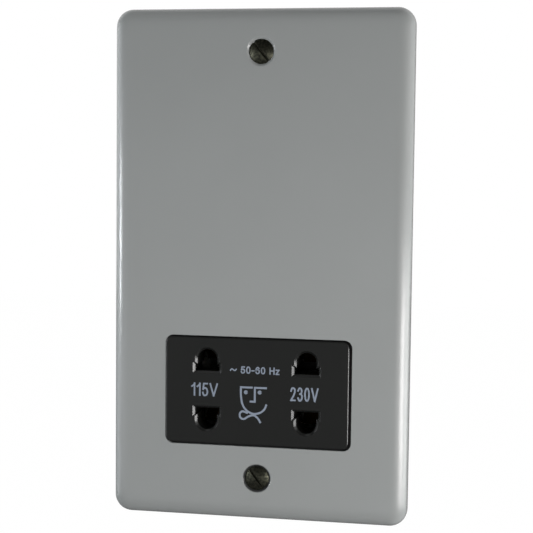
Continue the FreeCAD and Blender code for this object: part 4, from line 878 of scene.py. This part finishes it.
def lay_floor(scene):
    """A wide pale floor under the part, which looks white to the camera."""
    half = FLOOR_HALF
    low = cad_low.z - FLOOR_DROP
    mesh = bpy.data.meshes.new("floor")
    mesh.from_pydata([(-half, -half, low), (half, -half, low), (half, half, low), (-half, half, low)],
                     [], [(0, 1, 2, 3)])
    floor = bpy.data.objects.new("floor", mesh)
    scene.collection.objects.link(floor)
    material = bpy.data.materials.new("pale_floor")
    material.use_nodes = True
    mesh.materials.append(material)
    tree = material.node_tree
    tree.nodes.clear()
    matt = add_node(tree, "ShaderNodeBsdfDiffuse", {"Color": rgba(scene.socket_colours.floor)})
    glow = add_node(tree, "ShaderNodeEmission", {"Color": rgba(NEUTRAL), "Strength": 1.10})
    # a dark mat under the part draws the plate's lower edge
    ahead = add_node(tree, "ShaderNodeSeparateXYZ",
                     {"Vector": add_node(tree, "ShaderNodeTexCoord").outputs["Object"]})
    mat = add_node(tree, "ShaderNodeMapRange",
                   {"Value": ahead.outputs["Y"], "From Min": -0.85, "From Max": -0.6,
                    "To Min": 0.65, "To Max": 0.05})
    rays = add_node(tree, "ShaderNodeLightPath").outputs
    white = shown_white(tree, rays, mat.outputs["Result"])
    # a tenth of the floor stays matt and takes a faint shadow
    share = add_node(tree, "ShaderNodeMath", {0: white, 1: 0.9}, operation="MULTIPLY")
    mixed = add_node(tree, "ShaderNodeMixShader",
                     {0: share.outputs[0], 1: matt.outputs[0], 2: glow.outputs[0]})
    add_node(tree, "ShaderNodeOutputMaterial", {"Surface": mixed.outputs[0]})


FILL = 0.36
FILL_IN_GLOSS = 0.10


def light_surround(scene):
    """A dim room that looks white to the camera."""
    world = bpy.data.worlds.new("studio")
    scene.world = world
    world.use_nodes = True
    tree = world.node_tree
    tree.nodes.clear()
    rays = add_node(tree, "ShaderNodeLightPath").outputs
    level = add_node(tree, "ShaderNodeMath", {0: rays["Is Glossy Ray"], 1: FILL_IN_GLOSS - FILL, 2: FILL},
                     operation="MULTIPLY_ADD")
    dim = add_node(tree, "ShaderNodeBackground", {"Color": rgba(NEUTRAL), "Strength": level.outputs[0]})
    bright = add_node(tree, "ShaderNodeBackground", {"Color": rgba(NEUTRAL), "Strength": 1.0})
    # the white surround lies behind the part, so a reflection shows it only on that side
    heading = add_node(tree, "ShaderNodeSeparateXYZ",
                       {"Vector": add_node(tree, "ShaderNodeTexCoord").outputs["Generated"]})
    behind = add_node(tree, "ShaderNodeMapRange",
                      {"Value": heading.outputs["Y"], "From Min": -0.1, "From Max": 0.3})
    # straight behind on the right stands a dark flag, which draws the plate's edge on that side
    straight = add_node(tree, "ShaderNodeMapRange",
                        {"Value": heading.outputs["Y"], "From Min": 0.90, "From Max": 0.97})
    right = add_node(tree, "ShaderNodeMapRange",
                     {"Value": heading.outputs["X"], "From Min": -0.15, "From Max": 0.0, "To Max": 0.85})
    flag = add_node(tree, "ShaderNodeMath", {0: straight.outputs["Result"], 1: right.outputs["Result"]},
                    operation="MULTIPLY")
    left_open = add_node(tree, "ShaderNodeMath", {0: behind.outputs["Result"], 1: flag.outputs[0]},
                         operation="SUBTRACT")
    white = shown_white(tree, rays, left_open.outputs[0])
    mixed = add_node(tree, "ShaderNodeMixShader", {0: white, 1: dim.outputs[0], 2: bright.outputs[0]})
    add_node(tree, "ShaderNodeOutputWorld", {"Surface": mixed.outputs[0]})


def camera_turn(view):
    """The camera's axes: across, up and backwards."""
    back = Vector((math.sin(view.yaw) * math.cos(view.pitch), -math.cos(view.yaw) * math.cos(view.pitch),
                   math.sin(view.pitch)))
    right = Vector((math.cos(view.yaw), math.sin(view.yaw), 0.0))
    rise = back.cross(right)
    across = math.cos(view.roll) * right + math.sin(view.roll) * rise
    upward = math.cos(view.roll) * rise - math.sin(view.roll) * right
    return Matrix((across, upward, back)).transposed()


def stand_camera(scene):
    """The camera, where the photograph was taken from."""
    view = scene.socket_view
    camera = bpy.data.cameras.new("photo_camera")
    camera.sensor_fit = "HORIZONTAL"
    camera.sensor_width = 36.0
    camera.lens = view.lens
    camera.clip_start = 0.01
    item = bpy.data.objects.new("photo_camera", camera)
    scene.collection.objects.link(item)
    item.matrix_world = Matrix.Translation(view.place) @ camera_turn(view).to_4x4()
    scene.camera = item


class SOCKET_OT_studio(bpy.types.Operator):
    """Set up the floor, the lamps, the white surround and the camera"""
    bl_idname = "socket.studio"
    bl_label = "Studio"

    def execute(self, context):
        scene = context.scene
        scene.view_settings.view_transform = "Standard"
        lay_floor(scene)
        light_surround(scene)
        for lamp in LAMPS:
            softbox(*lamp)
        stand_camera(scene)
        return {"FINISHED"}


OPERATORS = (
    SOCKET_OT_painted_plate,
    SOCKET_OT_mouldings,
    SOCKET_OT_metalwork,
    SOCKET_OT_fixing_screws,
    SOCKET_OT_return_spring,
    SOCKET_OT_leads,
    SOCKET_OT_printed_marks,
    SOCKET_OT_studio,
)


class SOCKET_PT_finish(bpy.types.Panel):
    """Pieces, colours and sizes of the shaver socket"""
    bl_idname = "SOCKET_PT_finish"
    bl_label = "Shaver Socket"
    bl_space_type = "VIEW_3D"
    bl_region_type = "UI"
    bl_category = "Shaver Socket"

    def draw(self, context):
        for operator in OPERATORS:
            self.layout.operator(operator.bl_idname)
        for group in (context.scene.socket_colours, context.scene.socket_sizes, context.scene.socket_view):
            for key in group.bl_rna.properties.keys():
                if key not in ("rna_type", "name"):
                    self.layout.prop(group, key)


CLASSES = (SocketColours, SocketSizes, SocketView, *OPERATORS, SOCKET_PT_finish)


def register():
    """Make the classes and the scene's settings known to Blender."""
    for item in CLASSES:
        bpy.utils.register_class(item)
    bpy.types.Scene.socket_colours = PointerProperty(type=SocketColours)
    bpy.types.Scene.socket_sizes = PointerProperty(type=SocketSizes)
    bpy.types.Scene.socket_view = PointerProperty(type=SocketView)


def unregister():
    """Take the settings and the classes away again."""
    del bpy.types.Scene.socket_view
    del bpy.types.Scene.socket_sizes
    del bpy.types.Scene.socket_colours
    for item in reversed(CLASSES):
        bpy.utils.unregister_class(item)


def main():
    """Finish the whole socket."""
    register()
    bpy.ops.socket.painted_plate()
    bpy.ops.socket.mouldings()
    bpy.ops.socket.metalwork()
    bpy.ops.socket.fixing_screws()
    bpy.ops.socket.return_spring()
    bpy.ops.socket.leads()
    bpy.ops.socket.printed_marks()
    bpy.ops.socket.studio()


if __name__ == "__main__":
    main()
